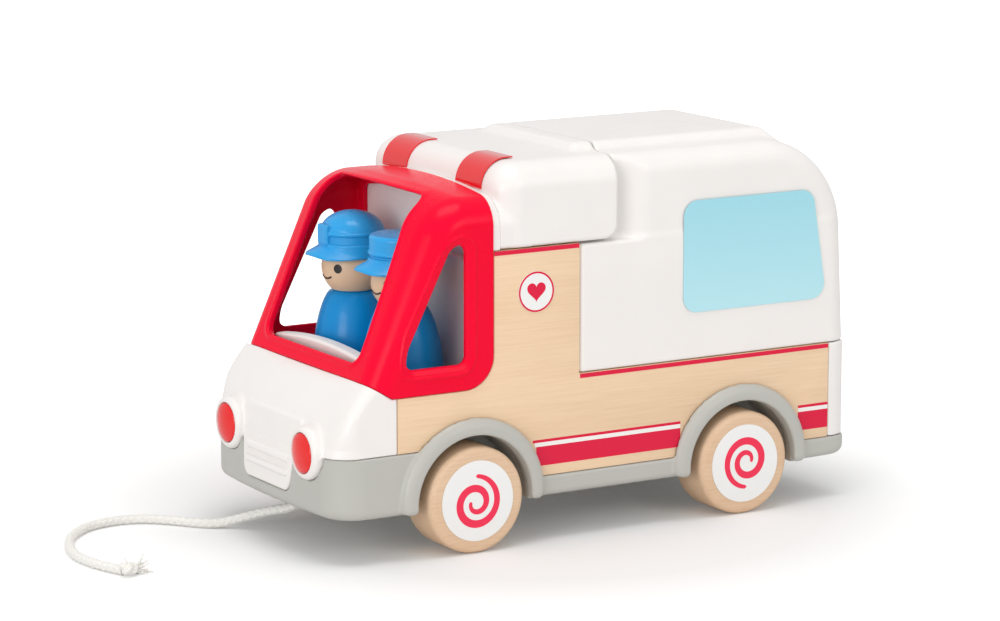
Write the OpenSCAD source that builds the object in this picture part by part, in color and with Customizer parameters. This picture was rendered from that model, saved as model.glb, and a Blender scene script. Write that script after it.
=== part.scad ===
// Toy ambulance: plywood sides on a plastic chassis, with a red cab, a white sliding box,
// two lift-out peg figures and a pull cord. Sizes in mm, +X to the nose, +Z up, ground at z = 0.

/* [Overall] */
// width over the plywood sides
body_w = 116; // [112:1:128]
// distance between the two axles
wheelbase = 136.7; // [125:0.1:145]
// distance from the nose to the front axle
front_overhang = 71.2; // [69:0.1:76]
// distance from the rear axle to the tailgate pull
rear_overhang = 62.1; // [56:0.1:70]
// play left between pieces that are fixed to each other
fit_gap = 0.2; // [0.1:0.05:0.3]

/* [Chassis] */
// height of the chassis underside above the ground
sill_z = 19.5; // [18.5:0.5:21]
// height of the sill band
sill_h = 9; // [8:0.5:11]
// wall and floor thickness of the chassis
chassis_t = 3; // [2.4:0.1:3.4]
// height of the front bumper top above the ground
bumper_top = 46; // [42:0.5:48]
// radius of the bumper corners in plan
bumper_r = 25; // [18:1:30]
// rounding of the lower chassis edge
keel_r = 4; // [2:0.5:4.5]
// inner radius of the wheel arches
arch_r = 29.6; // [27:0.2:31]
// radial width of the arch flares
flare_w = 7.6; // [6:0.2:9]
// how far the arch flares stand out from the sides
flare_out = 4.7; // [3:0.1:6]
// diameter of the hole for the pull cord
cord_hole_d = 5; // [4.6:0.1:6]

/* [Wheels] */
// wheel diameter
wheel_d = 46; // [42:1:48]
// wheel width
wheel_w = 16; // [12:0.5:16]
// rounding of the wheel edges
wheel_round = 3; // [1:0.5:4]
// axle diameter
axle_d = 4; // [3:0.1:4.2]
// radial play of the axle in its bearings
axle_play = 0.06; // [0.02:0.01:0.1]
// diameter of the round wheel labels
label_d = 34.7; // [26:0.1:36]

/* [Plywood sides] */
// plywood thickness
panel_t = 6; // [4:0.5:7]
// height of the ledge under the sliding box
ledge_z = 71.3; // [68:0.1:76]
// height of the tall part behind the cab
panel_top = 127.8; // [122:0.1:132]
// length of the tall part behind the cab
pillar_len = 42.5; // [38:0.5:46]
// distance from the front axle to the front edge
panel_nose = 35.9; // [35:0.1:40]
// rounding of the inner corner at the cab
cab_corner_r = 14; // [8:1:18]
// diameter of the round emblem
emblem_d = 17.6; // [12:0.1:22]

/* [Cab] */
// distance from the front axle back to the rear edge of the cab
cab_setback = 10.5; // [8:0.5:13]
// height of the lower cab edge at the sides
belt_z = 70; // [67:0.5:72]
// height of the lower cab edge at the front
cowl_z = 76.5; // [75:0.5:79]
// distance from the front axle to the foot of the windscreen
screen_foot = 48.9; // [46:0.1:51]
// lean of the windscreen from the horizontal
screen_lean = 69; // [66:1:72]
// rounding from the windscreen into the roof
screen_r = 45; // [38:1:48]
// height of the cab roof
cab_top = 152.5; // [149:0.5:156]
// rounding of the cab edges
cab_edge_r = 11; // [8:0.5:13]
// wall thickness of the cab
cab_t = 3; // [2.4:0.1:3.4]
// distance from the cab side to the windscreen opening
screen_margin = 14.5; // [13:0.5:20]

/* [Roof cap and box] */
// height of the roof cap and the sliding box
roof_z = 164.5; // [160:0.5:168]
// thickness of the raised roof panel
roof_step = 3; // [2:0.5:4]
// distance from the side to the raised roof panel
roof_margin = 22; // [19:0.5:28]
// how far the roof cap reaches back over the box
cap_overlap = 16.8; // [12:0.1:20]
// wall thickness of roof cap and box
box_t = 2.8; // [2.4:0.1:3.2]
// rounding of the box edges
box_edge_r = 10; // [8:0.5:11]
// rounding of the front roof cap edge
cap_front_r = 12; // [11.5:0.5:14]
// depth of the finger scoops in the box sides
scoop_d = 5.8; // [4.5:0.1:6.2]
// length of the finger scoops behind the roof cap
scoop_len = 18; // [14:1:24]
// width of each red light strip
strip_w = 21.2; // [16:0.2:26]
// distance from the side to each red light strip
strip_margin = 15.6; // [13:0.2:20]
// lean of the rear box wall
rear_lean = 3; // [1:0.5:4]
// rounding from the rear box wall into the roof
rear_r = 40; // [30:1:44]

/* [Nose] */
// diameter of the red headlight lenses
lens_d = 17; // [14:0.5:18]
// distance from the side to the headlight centres
lens_margin = 23.1; // [21:0.1:25]
// height of the headlights
lens_z = 46.3; // [45:0.1:48]
// how far the headlight domes stand out
lens_dome = 1.8; // [1:0.1:2.5]
// radial width of the headlight bezels
bezel_w = 3; // [2:0.1:3.5]
// distance from the side to the grille plate
grille_margin = 34; // [33:0.5:38]

/* [Tailgate] */
// thickness of the tailgate
gate_t = 7; // [6:0.5:8]
// distance from the side to the tailgate
gate_margin = 12.3; // [11:0.1:16]
// diameter of the tailgate hinge pin
gate_pin_d = 3; // [2.4:0.1:3.4]
// depth of the finger pull on the tailgate
pull_depth = 2.3; // [1.5:0.1:3]

/* [Labels] */
// corner rounding of the window labels
label_r = 7; // [3:0.5:10]
// distance of the window labels above the lower box edge
label_rise = 20.5; // [16:0.5:24]
// distance of the window labels below the roof
label_drop = 23; // [18:0.5:26]
// distance of the window labels behind the roof cap
label_front = 36.5; // [28:0.5:42]
// distance of the window labels from the tail
label_rear = 14; // [12:0.5:20]
// slant of the rear edge of the window labels
label_slant = 8; // [4:0.5:12]
// distance of the emblems below the top of the plywood
emblem_drop = 18.8; // [14:0.1:24]

/* [Figures] */
// distance between the two figures
figure_gap = 44; // [43:0.5:46]
// distance from the front axle to the figures
figure_fwd = 13.2; // [12.5:0.1:14.5]
// height of the seat under the figures
seat_z = 62; // [60:0.5:64]
// height of the seat back above the seat
seat_back_h = 61; // [50:1:62]
// distance from the front edge of the plywood to the bench
bench_back = 6; // [5:0.5:8]
// height of the figure bodies
figure_h = 38; // [34:0.5:40]
// diameter of the figure base
figure_base_d = 40; // [36:0.5:41]
// diameter of the figure heads
head_d = 29.6; // [27:0.2:31]
// diameter of the locating pegs on the seat
peg_d = 9; // [6:0.5:10]
// height of the locating pegs on the seat
peg_h = 5; // [4:0.5:6]

/* [Cord] */
// diameter of the pull cord
cord_d = 4; // [3.6:0.1:4.2]

/* [Hidden] */
$fn = 64;
eps = 0.01;

// places along the toy
overall_len = front_overhang + wheelbase + rear_overhang;
half_l = overall_len / 2;
front_axle_x = half_l - front_overhang;
rear_axle_x = front_axle_x - wheelbase;
axle_z = wheel_d / 2;
axle_xs = [front_axle_x, rear_axle_x];
tail_x = pull_depth - half_l;
bumper_x = half_l - lens_dome - 1.4;
side_y = body_w / 2;
panel_in = side_y - panel_t;
cab_rear_x = front_axle_x - cab_setback;
step_x = cab_rear_x - pillar_len;
panel_front_x = front_axle_x + panel_nose;
frame_depth = 11.8;
panel_rear_x = tail_x + frame_depth + fit_gap;
sill_top = sill_z + sill_h;
floor_z = sill_top - chassis_t;
flare_r = arch_r + flare_w;
well_r = arch_r + chassis_t;
panel_arch_r = well_r + fit_gap;
chassis_y = side_y + 0.3;
screen_x = front_axle_x + screen_foot;
toe_x = panel_front_x + 2.5;
cap_rear_x = step_x - cap_overlap;
bulkhead_t = 3;
bulkhead_x = cab_rear_x - bulkhead_t - fit_gap;
cap_front_x = bulkhead_x - fit_gap;
cap_y = side_y;
box_y = side_y - 0.2;
box_front_x = step_x - 0.5;
box_z = ledge_z + 0.4;
skirt_z = box_z - 5.7;
cap_z = panel_top + 0.5;
scoop_z = panel_top - 0.5;
neck_y = box_y - scoop_d;
cap_in_r = box_edge_r - box_t;
neck_in = neck_y - cap_y + box_edge_r;
neck_top = roof_z - box_edge_r + sqrt(max(cap_in_r * cap_in_r - neck_in * neck_in, 0)) - 0.6;
roof_panel_z = roof_z + roof_step;
roof_panel_w = body_w - 2 * roof_margin;
screen_w = body_w - 2 * screen_margin;
strip_in = side_y - strip_margin - strip_w;
lens_gap = body_w - 2 * lens_margin;
grille_w = body_w - 2 * grille_margin;
gate_w = body_w - 2 * gate_margin;
post_in = gate_w / 2 + 0.3;
gate_r = gate_t / 2;
gate_pin_x = tail_x + gate_r + 0.3;
gate_pin_z = sill_top + fit_gap + 3.5 + gate_r + 0.3;
gate_top = skirt_z - 0.5;

// wheels and axles
wheel_out_y = side_y + flare_out - 0.5;
wheel_in_y = wheel_out_y - wheel_w;
well_in_y = wheel_in_y - 2.2;
bearing_in_y = well_in_y - 10;
axle_r = axle_d / 2;
axle_end = wheel_out_y - 4;

// figures
figure_x = front_axle_x + figure_fwd;
figure_y = figure_gap / 2;
neck_z = seat_z + figure_h;
film_gap = 0.05;
dash_x = max(panel_front_x - 4, figure_x + figure_base_d / 2 + 1.6);
dash_w = screen_w + 3;
head_r = head_d / 2;
head_c = head_r * 0.74;
brow = 16;
brim_z = neck_z + head_c + head_r * sin(brow);
hat_r = head_r * cos(brow) - 0.2;
hat_h = head_r * 1.49;
dowel_r = 4;
dowel_h = 6;

// fixings
screw_r = 1.5;
screw_head_r = 3;
flange_h = 12;
flange_x0 = rear_axle_x + flare_r + 2;
flange_x1 = front_axle_x - flare_r - 2;
screw_xs = [for (k = [0 : 2]) flange_x0 + 8 + k * (flange_x1 - flange_x0 - 16) / 2];
screw_z = sill_top + 7;

// pull cord route, chosen by eye, from the hole under the nose along the floor
cord_r = cord_d / 2;
cord_x = bumper_x - 17.8;
cord_floor = cord_r + 0.05;
cord_route = [
    [cord_x, 0, floor_z + chassis_t],
    [cord_x, 0, floor_z - 4],
    [cord_x + 0.4, -2, 15],
    [cord_x + 1.6, -6, 9.5],
    [cord_x + 4, -12, 5],
    [cord_x + 7.5, -19, cord_floor + 0.6],
    [cord_x + 13, -26, cord_floor],
    [cord_x + 20, -31, cord_floor],
    [cord_x + 28, -36, cord_floor],
    [cord_x + 36, -46, cord_floor],
    [cord_x + 44, -55, cord_floor],
    [cord_x + 53, -60, cord_floor],
    [cord_x + 63, -61, cord_floor],
    [cord_x + 74, -58, cord_floor],
    [cord_x + 82, -52, cord_floor],
    [cord_x + 89, -44, cord_floor],
    [cord_x + 94, -35, cord_floor],
    [cord_x + 98, -24, cord_floor],
    [cord_x + 100, -12, cord_floor],
    [cord_x + 99, 0, cord_floor],
    [cord_x + 96, 11, cord_floor],
    [cord_x + 93.5, 18, cord_floor]
];

// points of an arc from angle a0 to a1
function arc(cx, cy, r, a0, a1, n = 10) =
    [for (i = [0 : n]) let (a = a0 + (a1 - a0) * i / n) [cx + r * cos(a), cy + r * sin(a)]];

// extrusion of an XZ profile between two Y values
module along_y(y0, y1) {
    translate([0, y1, 0])
        rotate([90, 0, 0])
            linear_extrude(y1 - y0) children();
}

// extrusion of a YZ profile between two X values
module along_x(x0, x1) {
    translate([x0, 0, 0])
        rotate([90, 0, 90])
            linear_extrude(x1 - x0) children();
}

// cylinder along Y between two Y values
module rod_y(r, x, z, y0, y1) {
    translate([x, y0, z])
        rotate([-90, 0, 0])
            cylinder(r = r, h = y1 - y0);
}

// body with an XZ profile and rounded edges towards both sides
module pillow(half_w, r, steps = 5) {
    hull()
        for (s = [-1, 1], k = [0 : steps])
            translate([0, s * (half_w - 0.1 - r + r * sin(90 * k / steps)), 0])
                rotate([90, 0, 0])
                    linear_extrude(0.2, center = true)
                        offset(delta = -r * (1 - cos(90 * k / steps))) children();
}

// plan of the lower body with rounded nose and tail corners
module plan(x0, x1, half_w, nose_r, tail_r) {
    polygon(concat(
        arc(x1 - nose_r, half_w - nose_r, nose_r, 0, 90, 12),
        arc(x0 + tail_r, half_w - tail_r, tail_r, 90, 180, 6),
        arc(x0 + tail_r, tail_r - half_w, tail_r, 180, 270, 6),
        arc(x1 - nose_r, nose_r - half_w, nose_r, 270, 360, 12)));
}

// flare around one wheel arch, turned about the axle, on the +Y side
module flare(x) {
    translate([x, chassis_y - chassis_t, axle_z])
        rotate([-90, 0, 0])
            rotate_extrude($fn = 96)
                polygon([[arch_r, 0], [well_r, 0], [well_r, chassis_t - 0.15], [flare_r, chassis_t - 0.15],
                    [flare_r, chassis_t + 1.4],
                    [flare_r - 1.4, chassis_t + flare_out - 1.4],
                    [flare_r - 3.2, chassis_t + flare_out - 0.5],
                    [arch_r + 2.2, chassis_t + flare_out - 0.3], [arch_r, chassis_t + flare_out - 1.4]]);
}

// places of the headlights, as a cylinder along X
module headlight_rod(r, x0, x1) {
    for (s = [-1, 1])
        translate([x0, s * lens_gap / 2, lens_z])
            rotate([0, 90, 0])
                cylinder(r = r, h = x1 - x0);
}

// round headlight bezels with a rounded front edge
module bezels() {
    r = lens_d / 2 + bezel_w;
    e = bezel_w * 0.7;
    h = 11.2;
    for (s = [-1, 1])
        translate([bumper_x - 10, s * lens_gap / 2, lens_z])
            rotate([0, 90, 0])
                rotate_extrude()
                    polygon(concat([[0, 0], [r, 0]], arc(r - e, h - e, e, 0, 90, 6), [[0, h]]));
}

// outline of the grille plate
module grille_outline(grow) {
    offset(r = 5 + grow)
        offset(delta = -5)
            polygon([[-grille_w / 2 - 4, bumper_top + 10], [grille_w / 2 + 4, bumper_top + 10],
                [grille_w / 2, bumper_top - 8], [grille_w / 2 - 3, sill_top - 2],
                [3 - grille_w / 2, sill_top - 2], [-grille_w / 2, bumper_top - 8]]);
}

// grey base with sills, bumper, wheel arches and axle bearings
module chassis() {
    color("lightgray")
        difference() {
            union() {
                hull()
                    for (k = [0 : 4])
                        translate([0, 0, sill_z + keel_r * (1 - cos(22.5 * k))])
                            linear_extrude(k < 4 ? eps : sill_h - keel_r)
                                offset(delta = -keel_r * (1 - sin(22.5 * k)))
                                    plan(tail_x, bumper_x, chassis_y, bumper_r, 8);
                intersection() {
                    translate([0, 0, sill_top - eps])
                        linear_extrude(bumper_top - sill_top + eps)
                            plan(tail_x, bumper_x, chassis_y, bumper_r, 8);
                    translate([front_axle_x + 10, -body_w, 0])
                        cube([body_w, 2 * body_w, 2 * body_w]);
                }
                for (x = axle_xs, s = [0, 1])
                    mirror([0, s, 0]) {
                        rod_y(well_r, x, axle_z, well_in_y - chassis_t, chassis_y);
                        flare(x);
                    }
                for (s = [-1, 1])
                    translate([flange_x0, s > 0 ? panel_in - fit_gap - chassis_t : fit_gap - panel_in, floor_z])
                        cube([flange_x1 - flange_x0, chassis_t, chassis_t + flange_h]);
            }
            difference() {
                translate([0, 0, -eps])
                    linear_extrude(floor_z + eps)
                        plan(tail_x + chassis_t, bumper_x - chassis_t - 2, chassis_y - chassis_t - 3,
                            bumper_r - chassis_t, 6);
                for (x = axle_xs, s = [0, 1])
                    mirror([0, s, 0]) {
                        rod_y(well_r, x, axle_z, well_in_y - chassis_t, chassis_y);
                        translate([x - 5, bearing_in_y, axle_z - 5])
                            cube([10, well_in_y - bearing_in_y, 20]);
                    }
            }
            translate([front_axle_x, 0, sill_top])
                linear_extrude(body_w)
                    difference() {
                        plan(0, bumper_x - front_axle_x - chassis_t, chassis_y - chassis_t,
                            bumper_r - chassis_t, 6);
                        for (s = [-1, 1])
                            translate([-eps, s > 0 ? well_in_y - chassis_t : -chassis_y])
                                square([well_r + 0.5, chassis_y - well_in_y + chassis_t]);
                    }
            for (x = axle_xs, s = [0, 1])
                mirror([0, s, 0]) {
                    rod_y(arch_r, x, axle_z, well_in_y, body_w);
                    rod_y(axle_r + axle_play, x, axle_z, bearing_in_y - 1, well_in_y + 1);
                }
            translate([-half_l, -body_w, -2 * body_w])
                cube([overall_len, 2 * body_w, 2 * body_w + min(sill_z, axle_z - 5)]);
            for (x = axle_xs, s = [0, 1])
                mirror([0, s, 0])
                    translate([x - flare_r - 1, well_in_y, 0])
                        cube([2 * flare_r + 2, body_w, sill_z]);
            headlight_rod(lens_d / 2 + bezel_w + fit_gap, bumper_x - 40, bumper_x + 10);
            along_x(bumper_x - 2.2, bumper_x + 10) grille_outline(fit_gap);
            translate([cord_x, 0, floor_z - 1])
                cylinder(d = cord_hole_d, h = chassis_t + 2);
            for (x = screw_xs)
                rod_y(screw_r + 0.15, x, screw_z, -body_w, body_w);
            for (s = [-1, 1])
                translate([figure_x, s * 12, floor_z - 1])
                    cylinder(r = screw_r + 0.15, h = chassis_t + 2);
        }
}

// lower edge of the cab, everything under it
module under_cab(drop) {
    polygon([[cab_rear_x - 60, belt_z - drop], [toe_x, belt_z - drop], [screen_x, cowl_z - drop],
        [screen_x + 60, cowl_z - drop + 60 * (cowl_z - belt_z) / (screen_x - toe_x)],
        [screen_x + 60, 0], [cab_rear_x - 60, 0]]);
}

// solid of the bonnet, set in by an even wall
module bonnet(inset) {
    base = bumper_top + fit_gap;
    hull()
        for (s = [[base, 0, 0], [base + 11.5, 0.8, 0], [base + 17.5, 3.6, 0.6], [base + 22, 8, 1.8],
                [cowl_z + 1, 18, 5]])
            translate([0, 0, s[0] - (s[0] > base ? inset : 0)])
                linear_extrude(eps)
                    offset(delta = -inset)
                        plan(panel_front_x + fit_gap - 2 * inset, bumper_x - 0.4 - s[1],
                            side_y - 0.2 - s[2], bumper_r - s[2], 0.5);
}

// white nose with grille, headlight bezels and dashboard
module front_hood() {
    color("white")
        difference() {
            union() {
                intersection() {
                    difference() {
                        bonnet(0);
                        difference() {
                            bonnet(box_t);
                            headlight_rod(lens_d / 2 + bezel_w, bumper_x - 10, bumper_x + 10);
                        }
                        translate([0, 0, bumper_top - 2])
                            linear_extrude(4)
                                plan(panel_front_x - 10, bumper_x - box_t, side_y - box_t, bumper_r, 1);
                    }
                    along_y(-body_w, body_w)
                        intersection() {
                            under_cab(fit_gap);
                            translate([panel_front_x + fit_gap, 0])
                                square(body_w);
                        }
                }
                bezels();
                along_x(bumper_x - 2, bumper_x + 1.2) grille_outline(0);
                for (dz = [5.5, 11.5])
                    translate([bumper_x, 5 - grille_w / 2, bumper_top - dz - 1.3])
                        cube([2.2, grille_w - 10, 2.6]);
                translate([dash_x, 1 - panel_in, belt_z - 3])
                    cube([screen_x - 4 - dash_x, 2 * panel_in - 2, 3 - fit_gap]);
                along_y(-dash_w / 2, dash_w / 2)
                    polygon([[dash_x, belt_z - 2], [dash_x, cowl_z + 2.4], [screen_x - 6, cowl_z + 1.2],
                        [screen_x - 6, belt_z - 2]]);
            }
            headlight_rod(lens_d / 2 + 0.1, bumper_x - 3.4, bumper_x + 10);
        }
}

// red headlight lens with a domed face
module headlight_lens(side) {
    face_x = half_l - lens_dome;
    dome_r = (lens_d * lens_d / 4 + lens_dome * lens_dome) / (2 * lens_dome);
    half = asin(lens_d / 2 / dome_r);
    color("crimson")
        translate([face_x, side * lens_gap / 2, lens_z])
            rotate([0, 90, 0])
                rotate_extrude()
                    polygon(concat([[0, bumper_x - 3.2 - face_x], [lens_d / 2, bumper_x - 3.2 - face_x]],
                        arc(0, lens_dome - dome_r, dome_r, 90 - half, 90, 8)));
}

module headlight_lens_left() {
    headlight_lens(1);
}

module headlight_lens_right() {
    headlight_lens(-1);
}

// side profile of the cab, with the rear and the foot run on past their edges
module cab_profile(inset) {
    rise = cab_top - inset;
    r = screen_r - inset;
    foot = screen_x - inset / sin(screen_lean);
    bend_z = rise - r * (1 - cos(screen_lean));
    bend_x = foot - (bend_z - cowl_z) / tan(screen_lean);
    roof_x = bend_x - r * sin(screen_lean);
    polygon(concat([[foot + 30 / tan(screen_lean), cowl_z - 30]],
        arc(roof_x, rise - r, r, 90 - screen_lean, 90, 12),
        [[cab_rear_x - 40, rise], [cab_rear_x - 40, cowl_z - 30]]));
}

// opening of the side window
module window_outline(grow) {
    foot = belt_z + 11.2;
    offset(r = 3.5 + grow)
        offset(delta = -3.5)
            polygon([[cab_rear_x + 13.5, foot], [screen_x - 18.5, foot],
                [screen_x - 17.5, foot + 5], [cab_rear_x + 16, cab_top - 19.5],
                [cab_rear_x + 13.5, cab_top - 23]]);
}

// red cab with windscreen and side windows
module cab_shell() {
    color("crimson")
        difference() {
            pillow(side_y + 0.5, cab_edge_r) cab_profile(0);
            pillow(side_y + 0.5 - cab_t, cab_edge_r - cab_t) cab_profile(cab_t);
            along_y(-body_w, body_w) under_cab(-0.01);
            translate([cab_rear_x - 100, -body_w, -1])
                cube([100, 2 * body_w, 400]);
            along_y(-body_w, body_w)
                difference() {
                    translate([cab_rear_x - 1, belt_z - 1])
                        square(cab_corner_r + 1);
                    translate([cab_rear_x + cab_corner_r, belt_z + cab_corner_r])
                        circle(cab_corner_r);
                }
            along_y(-body_w, body_w) window_outline(0);
            translate([screen_x, 0, cowl_z])
                rotate([0, screen_lean - 90, 0])
                    rotate([90, 0, 90])
                        translate([0, 0, -40])
                            linear_extrude(80)
                                offset(r = 6)
                                    offset(delta = -6)
                                        polygon([[-screen_w / 2, 5], [screen_w / 2, 5],
                                            [screen_w / 2 - 5, 85], [5 - screen_w / 2, 85]]);
        }
}

// outline of a plywood side in XZ
module panel_outline() {
    polygon(concat([[panel_rear_x, sill_top + fit_gap], [panel_rear_x, ledge_z], [step_x, ledge_z],
            [step_x, panel_top], [cab_rear_x - fit_gap, panel_top]],
        arc(cab_rear_x + cab_corner_r, belt_z + cab_corner_r, cab_corner_r + fit_gap, 180, 270, 8),
        [[panel_front_x, belt_z - fit_gap], [panel_front_x, bumper_top + fit_gap],
            [front_axle_x + 10, bumper_top + fit_gap], [front_axle_x + 10, sill_top + fit_gap]]));
}

// plywood side with its wheel arches and blind screw holes
module side_panel(side) {
    color("burlywood")
        difference() {
            along_y(side > 0 ? panel_in : -side_y, side > 0 ? side_y : -panel_in)
                difference() {
                    panel_outline();
                    for (x = axle_xs)
                        translate([x, axle_z])
                            circle(panel_arch_r, $fn = 96);
                }
            for (x = screw_xs)
                rod_y(screw_r + 0.02, x, screw_z, side > 0 ? 0 : -panel_in - 4.2, side > 0 ? panel_in + 4.2 : 0);
        }
}

module side_panel_left() {
    side_panel(1);
}

module side_panel_right() {
    side_panel(-1);
}

// arch of the rim behind the cab roof, from a given height up
module arch_outline(z0) {
    w = side_y - 0.4;
    r = cab_edge_r + 1;
    top = cab_top - 0.6;
    polygon(concat([[w, z0]], arc(w - r, top - r, r, 0, 90, 8), arc(r - w, top - r, r, 90, 180, 8), [[-w, z0]]));
}

// white wall between cab and box, showing as a rim behind the cab roof
module bulkhead() {
    color("white")
        along_x(bulkhead_x, bulkhead_x + bulkhead_t) {
            difference() {
                translate([-panel_in + fit_gap, sill_top + fit_gap])
                    square([2 * (panel_in - fit_gap), panel_top - sill_top]);
                for (s = [0, 1])
                    mirror([s, 0])
                        translate([well_in_y - chassis_t - 0.4, 0])
                            square([body_w, axle_z + well_r + 0.4]);
            }
            arch_outline(panel_top + fit_gap);
        }
}

// white bench with backrest and locating pegs for the figures
module bench_seat() {
    back_x = bulkhead_x + bulkhead_t + fit_gap;
    bench_x = panel_front_x - bench_back;
    bench_y = well_in_y - chassis_t - 0.6;
    seat_y = panel_in - 1;
    color("white")
        difference() {
            union() {
                translate([back_x, -seat_y, seat_z - 3])
                    cube([bench_x - back_x, 2 * seat_y, 3]);
                translate([back_x, -bench_y, sill_top + fit_gap])
                    cube([bench_x - back_x, 2 * bench_y, seat_z - 3 - sill_top - fit_gap]);
                along_x(back_x, back_x + 3.4)
                    intersection() {
                        offset(r = 14)
                            offset(delta = -14)
                                translate([-seat_y + 4, seat_z - 20])
                                    square([2 * seat_y - 8, seat_back_h + 20]);
                        translate([-body_w, seat_z - 3])
                            square(2 * body_w);
                    }
                for (s = [-1, 1])
                    translate([figure_x, s * figure_y, seat_z - eps])
                        cylinder(d = peg_d, h = peg_h + eps);
            }
            translate([back_x + 3, 3 - bench_y, sill_top - 1])
                cube([bench_x - back_x - 6, 2 * bench_y - 6, seat_z - 3 - sill_top + 1]);
            translate([back_x - eps, -seat_y, 0])
                cube([3.5, 2 * seat_y, sill_top + fit_gap]);
        }
    color("white")
        for (s = [-1, 1])
            translate([figure_x, s * 12, sill_top + fit_gap])
                difference() {
                    cylinder(r = 3.6, h = seat_z - 2 - sill_top - fit_gap);
                    translate([0, 0, -eps])
                        cylinder(r = screw_r + 0.02, h = 8);
                }
}

// profile of roof cap, set in by an even wall
module cap_profile(inset) {
    r = cap_front_r - inset;
    polygon(concat(arc(cap_front_x - cap_front_r, roof_z - cap_front_r, r, 0, 90, 8),
        [[cap_rear_x - 60, roof_z - inset], [cap_rear_x - 60, cap_z - 40], [cap_front_x - inset, cap_z - 40]]));
}

// raised roof panel with sloped edges, between two X values
module roof_panel(x0, x1) {
    front_x = cap_rear_x + 9;
    back_x = tail_x + 34.5;
    intersection() {
        hull() {
            translate([back_x, -roof_panel_w / 2, roof_panel_z - eps])
                cube([front_x - back_x, roof_panel_w, eps]);
            translate([back_x - 3, -roof_panel_w / 2 - 3, roof_z - 0.4])
                cube([front_x - back_x + 6, roof_panel_w + 6, eps]);
        }
        translate([x0, -body_w, 0])
            cube([x1 - x0, 2 * body_w, 400]);
    }
}

// white roof cap behind the cab, open towards the box
module cab_roof() {
    corner = 6.5;
    color("white") {
        difference() {
            union() {
                pillow(cap_y, box_edge_r) cap_profile(0);
                along_x(cap_front_x - box_edge_r - 6, cap_front_x) arch_outline(cap_z - 1);
            }
            pillow(cap_y - box_t, box_edge_r - box_t) cap_profile(box_t);
            translate([-half_l, -body_w, 0])
                cube([overall_len, 2 * body_w, cap_z]);
            translate([cap_rear_x - 100, -body_w, 0])
                cube([100, 2 * body_w, 400]);
            along_y(-body_w, body_w)
                difference() {
                    translate([cap_rear_x - 1, cap_z - 1])
                        square(corner + 1);
                    translate([cap_rear_x + corner, cap_z + corner])
                        circle(corner);
                }
        }
        roof_panel(cap_rear_x, cap_rear_x + 20);
    }
}

// red light strip running from the cap front over its edge
module light_strip(side) {
    lift = 0.6;
    cx = cap_front_x - cap_front_r;
    cz = roof_z - cap_front_r;
    y0 = side > 0 ? strip_in : -strip_in - strip_w;
    color("red")
        along_y(y0, y0 + strip_w)
            intersection() {
                polygon(concat([[cap_front_x + film_gap, cz - 20], [cap_front_x + lift, cz - 20]],
                    arc(cx, cz, cap_front_r + lift, 0, 90, 8),
                    [[cx - 3.2, roof_z + lift], [cx - 3.2, roof_z + film_gap]],
                    arc(cx, cz, cap_front_r + film_gap, 90, 0, 8)));
                translate([cx - 20, cab_top - 0.3])
                    square(100);
            }
}

module light_strip_left() {
    light_strip(1);
}

module light_strip_right() {
    light_strip(-1);
}

// white frame at the tail, with two corner posts
module rear_frame() {
    color("white")
        difference() {
            translate([0, 0, sill_top + fit_gap])
                linear_extrude(ledge_z - sill_top - fit_gap)
                    intersection() {
                        plan(tail_x, 0, side_y - 0.2, 4, box_edge_r - 1);
                        translate([tail_x, -body_w])
                            square([frame_depth, 2 * body_w]);
                    }
            translate([tail_x - 1, -post_in, sill_top + fit_gap + 3.5])
                cube([frame_depth + 2, 2 * post_in, body_w]);
            translate([tail_x - 1, -neck_y - 0.3, gate_top])
                cube([frame_depth + 2, 2 * neck_y + 0.6, body_w]);
            rod_y(gate_pin_d / 2 + 0.02, gate_pin_x, gate_pin_z, -post_in - 6, post_in + 6);
        }
}

// white tailgate that folds down about its lower edge
module tailgate() {
    color("white")
        difference() {
            union() {
                translate([gate_pin_x - gate_r, -gate_w / 2, gate_pin_z])
                    cube([gate_t, gate_w, gate_top - gate_pin_z]);
                rod_y(gate_r, gate_pin_x, gate_pin_z, -gate_w / 2, gate_w / 2);
                translate([-half_l, -12, gate_top - 8])
                    cube([pull_depth + 1, 24, 3.5]);
            }
            rod_y(gate_pin_d / 2 + 0.06, gate_pin_x, gate_pin_z, -body_w, body_w);
        }
}

// steel pin of the tailgate
module tailgate_hinge_pin() {
    color("silver")
        rod_y(gate_pin_d / 2, gate_pin_x, gate_pin_z, -post_in - 5.8, post_in + 5.8);
}

// side profile of the sliding box, set in by an even wall
module box_profile(inset) {
    r = rear_r - inset;
    lean = 90 - rear_lean;
    bend_z = roof_z - rear_r + rear_r * cos(lean);
    bend_x = tail_x + (bend_z - box_z) / tan(lean);
    cx = bend_x + rear_r * sin(lean);
    polygon(concat([[box_front_x + (inset > 0 ? 20 : 0), box_z - 30],
            [box_front_x + (inset > 0 ? 20 : 0), roof_z - inset]],
        arc(cx, roof_z - rear_r, r, 90, 90 + lean, 12),
        [[tail_x - 30 / tan(lean) + inset, box_z - 30]]));
}

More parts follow.
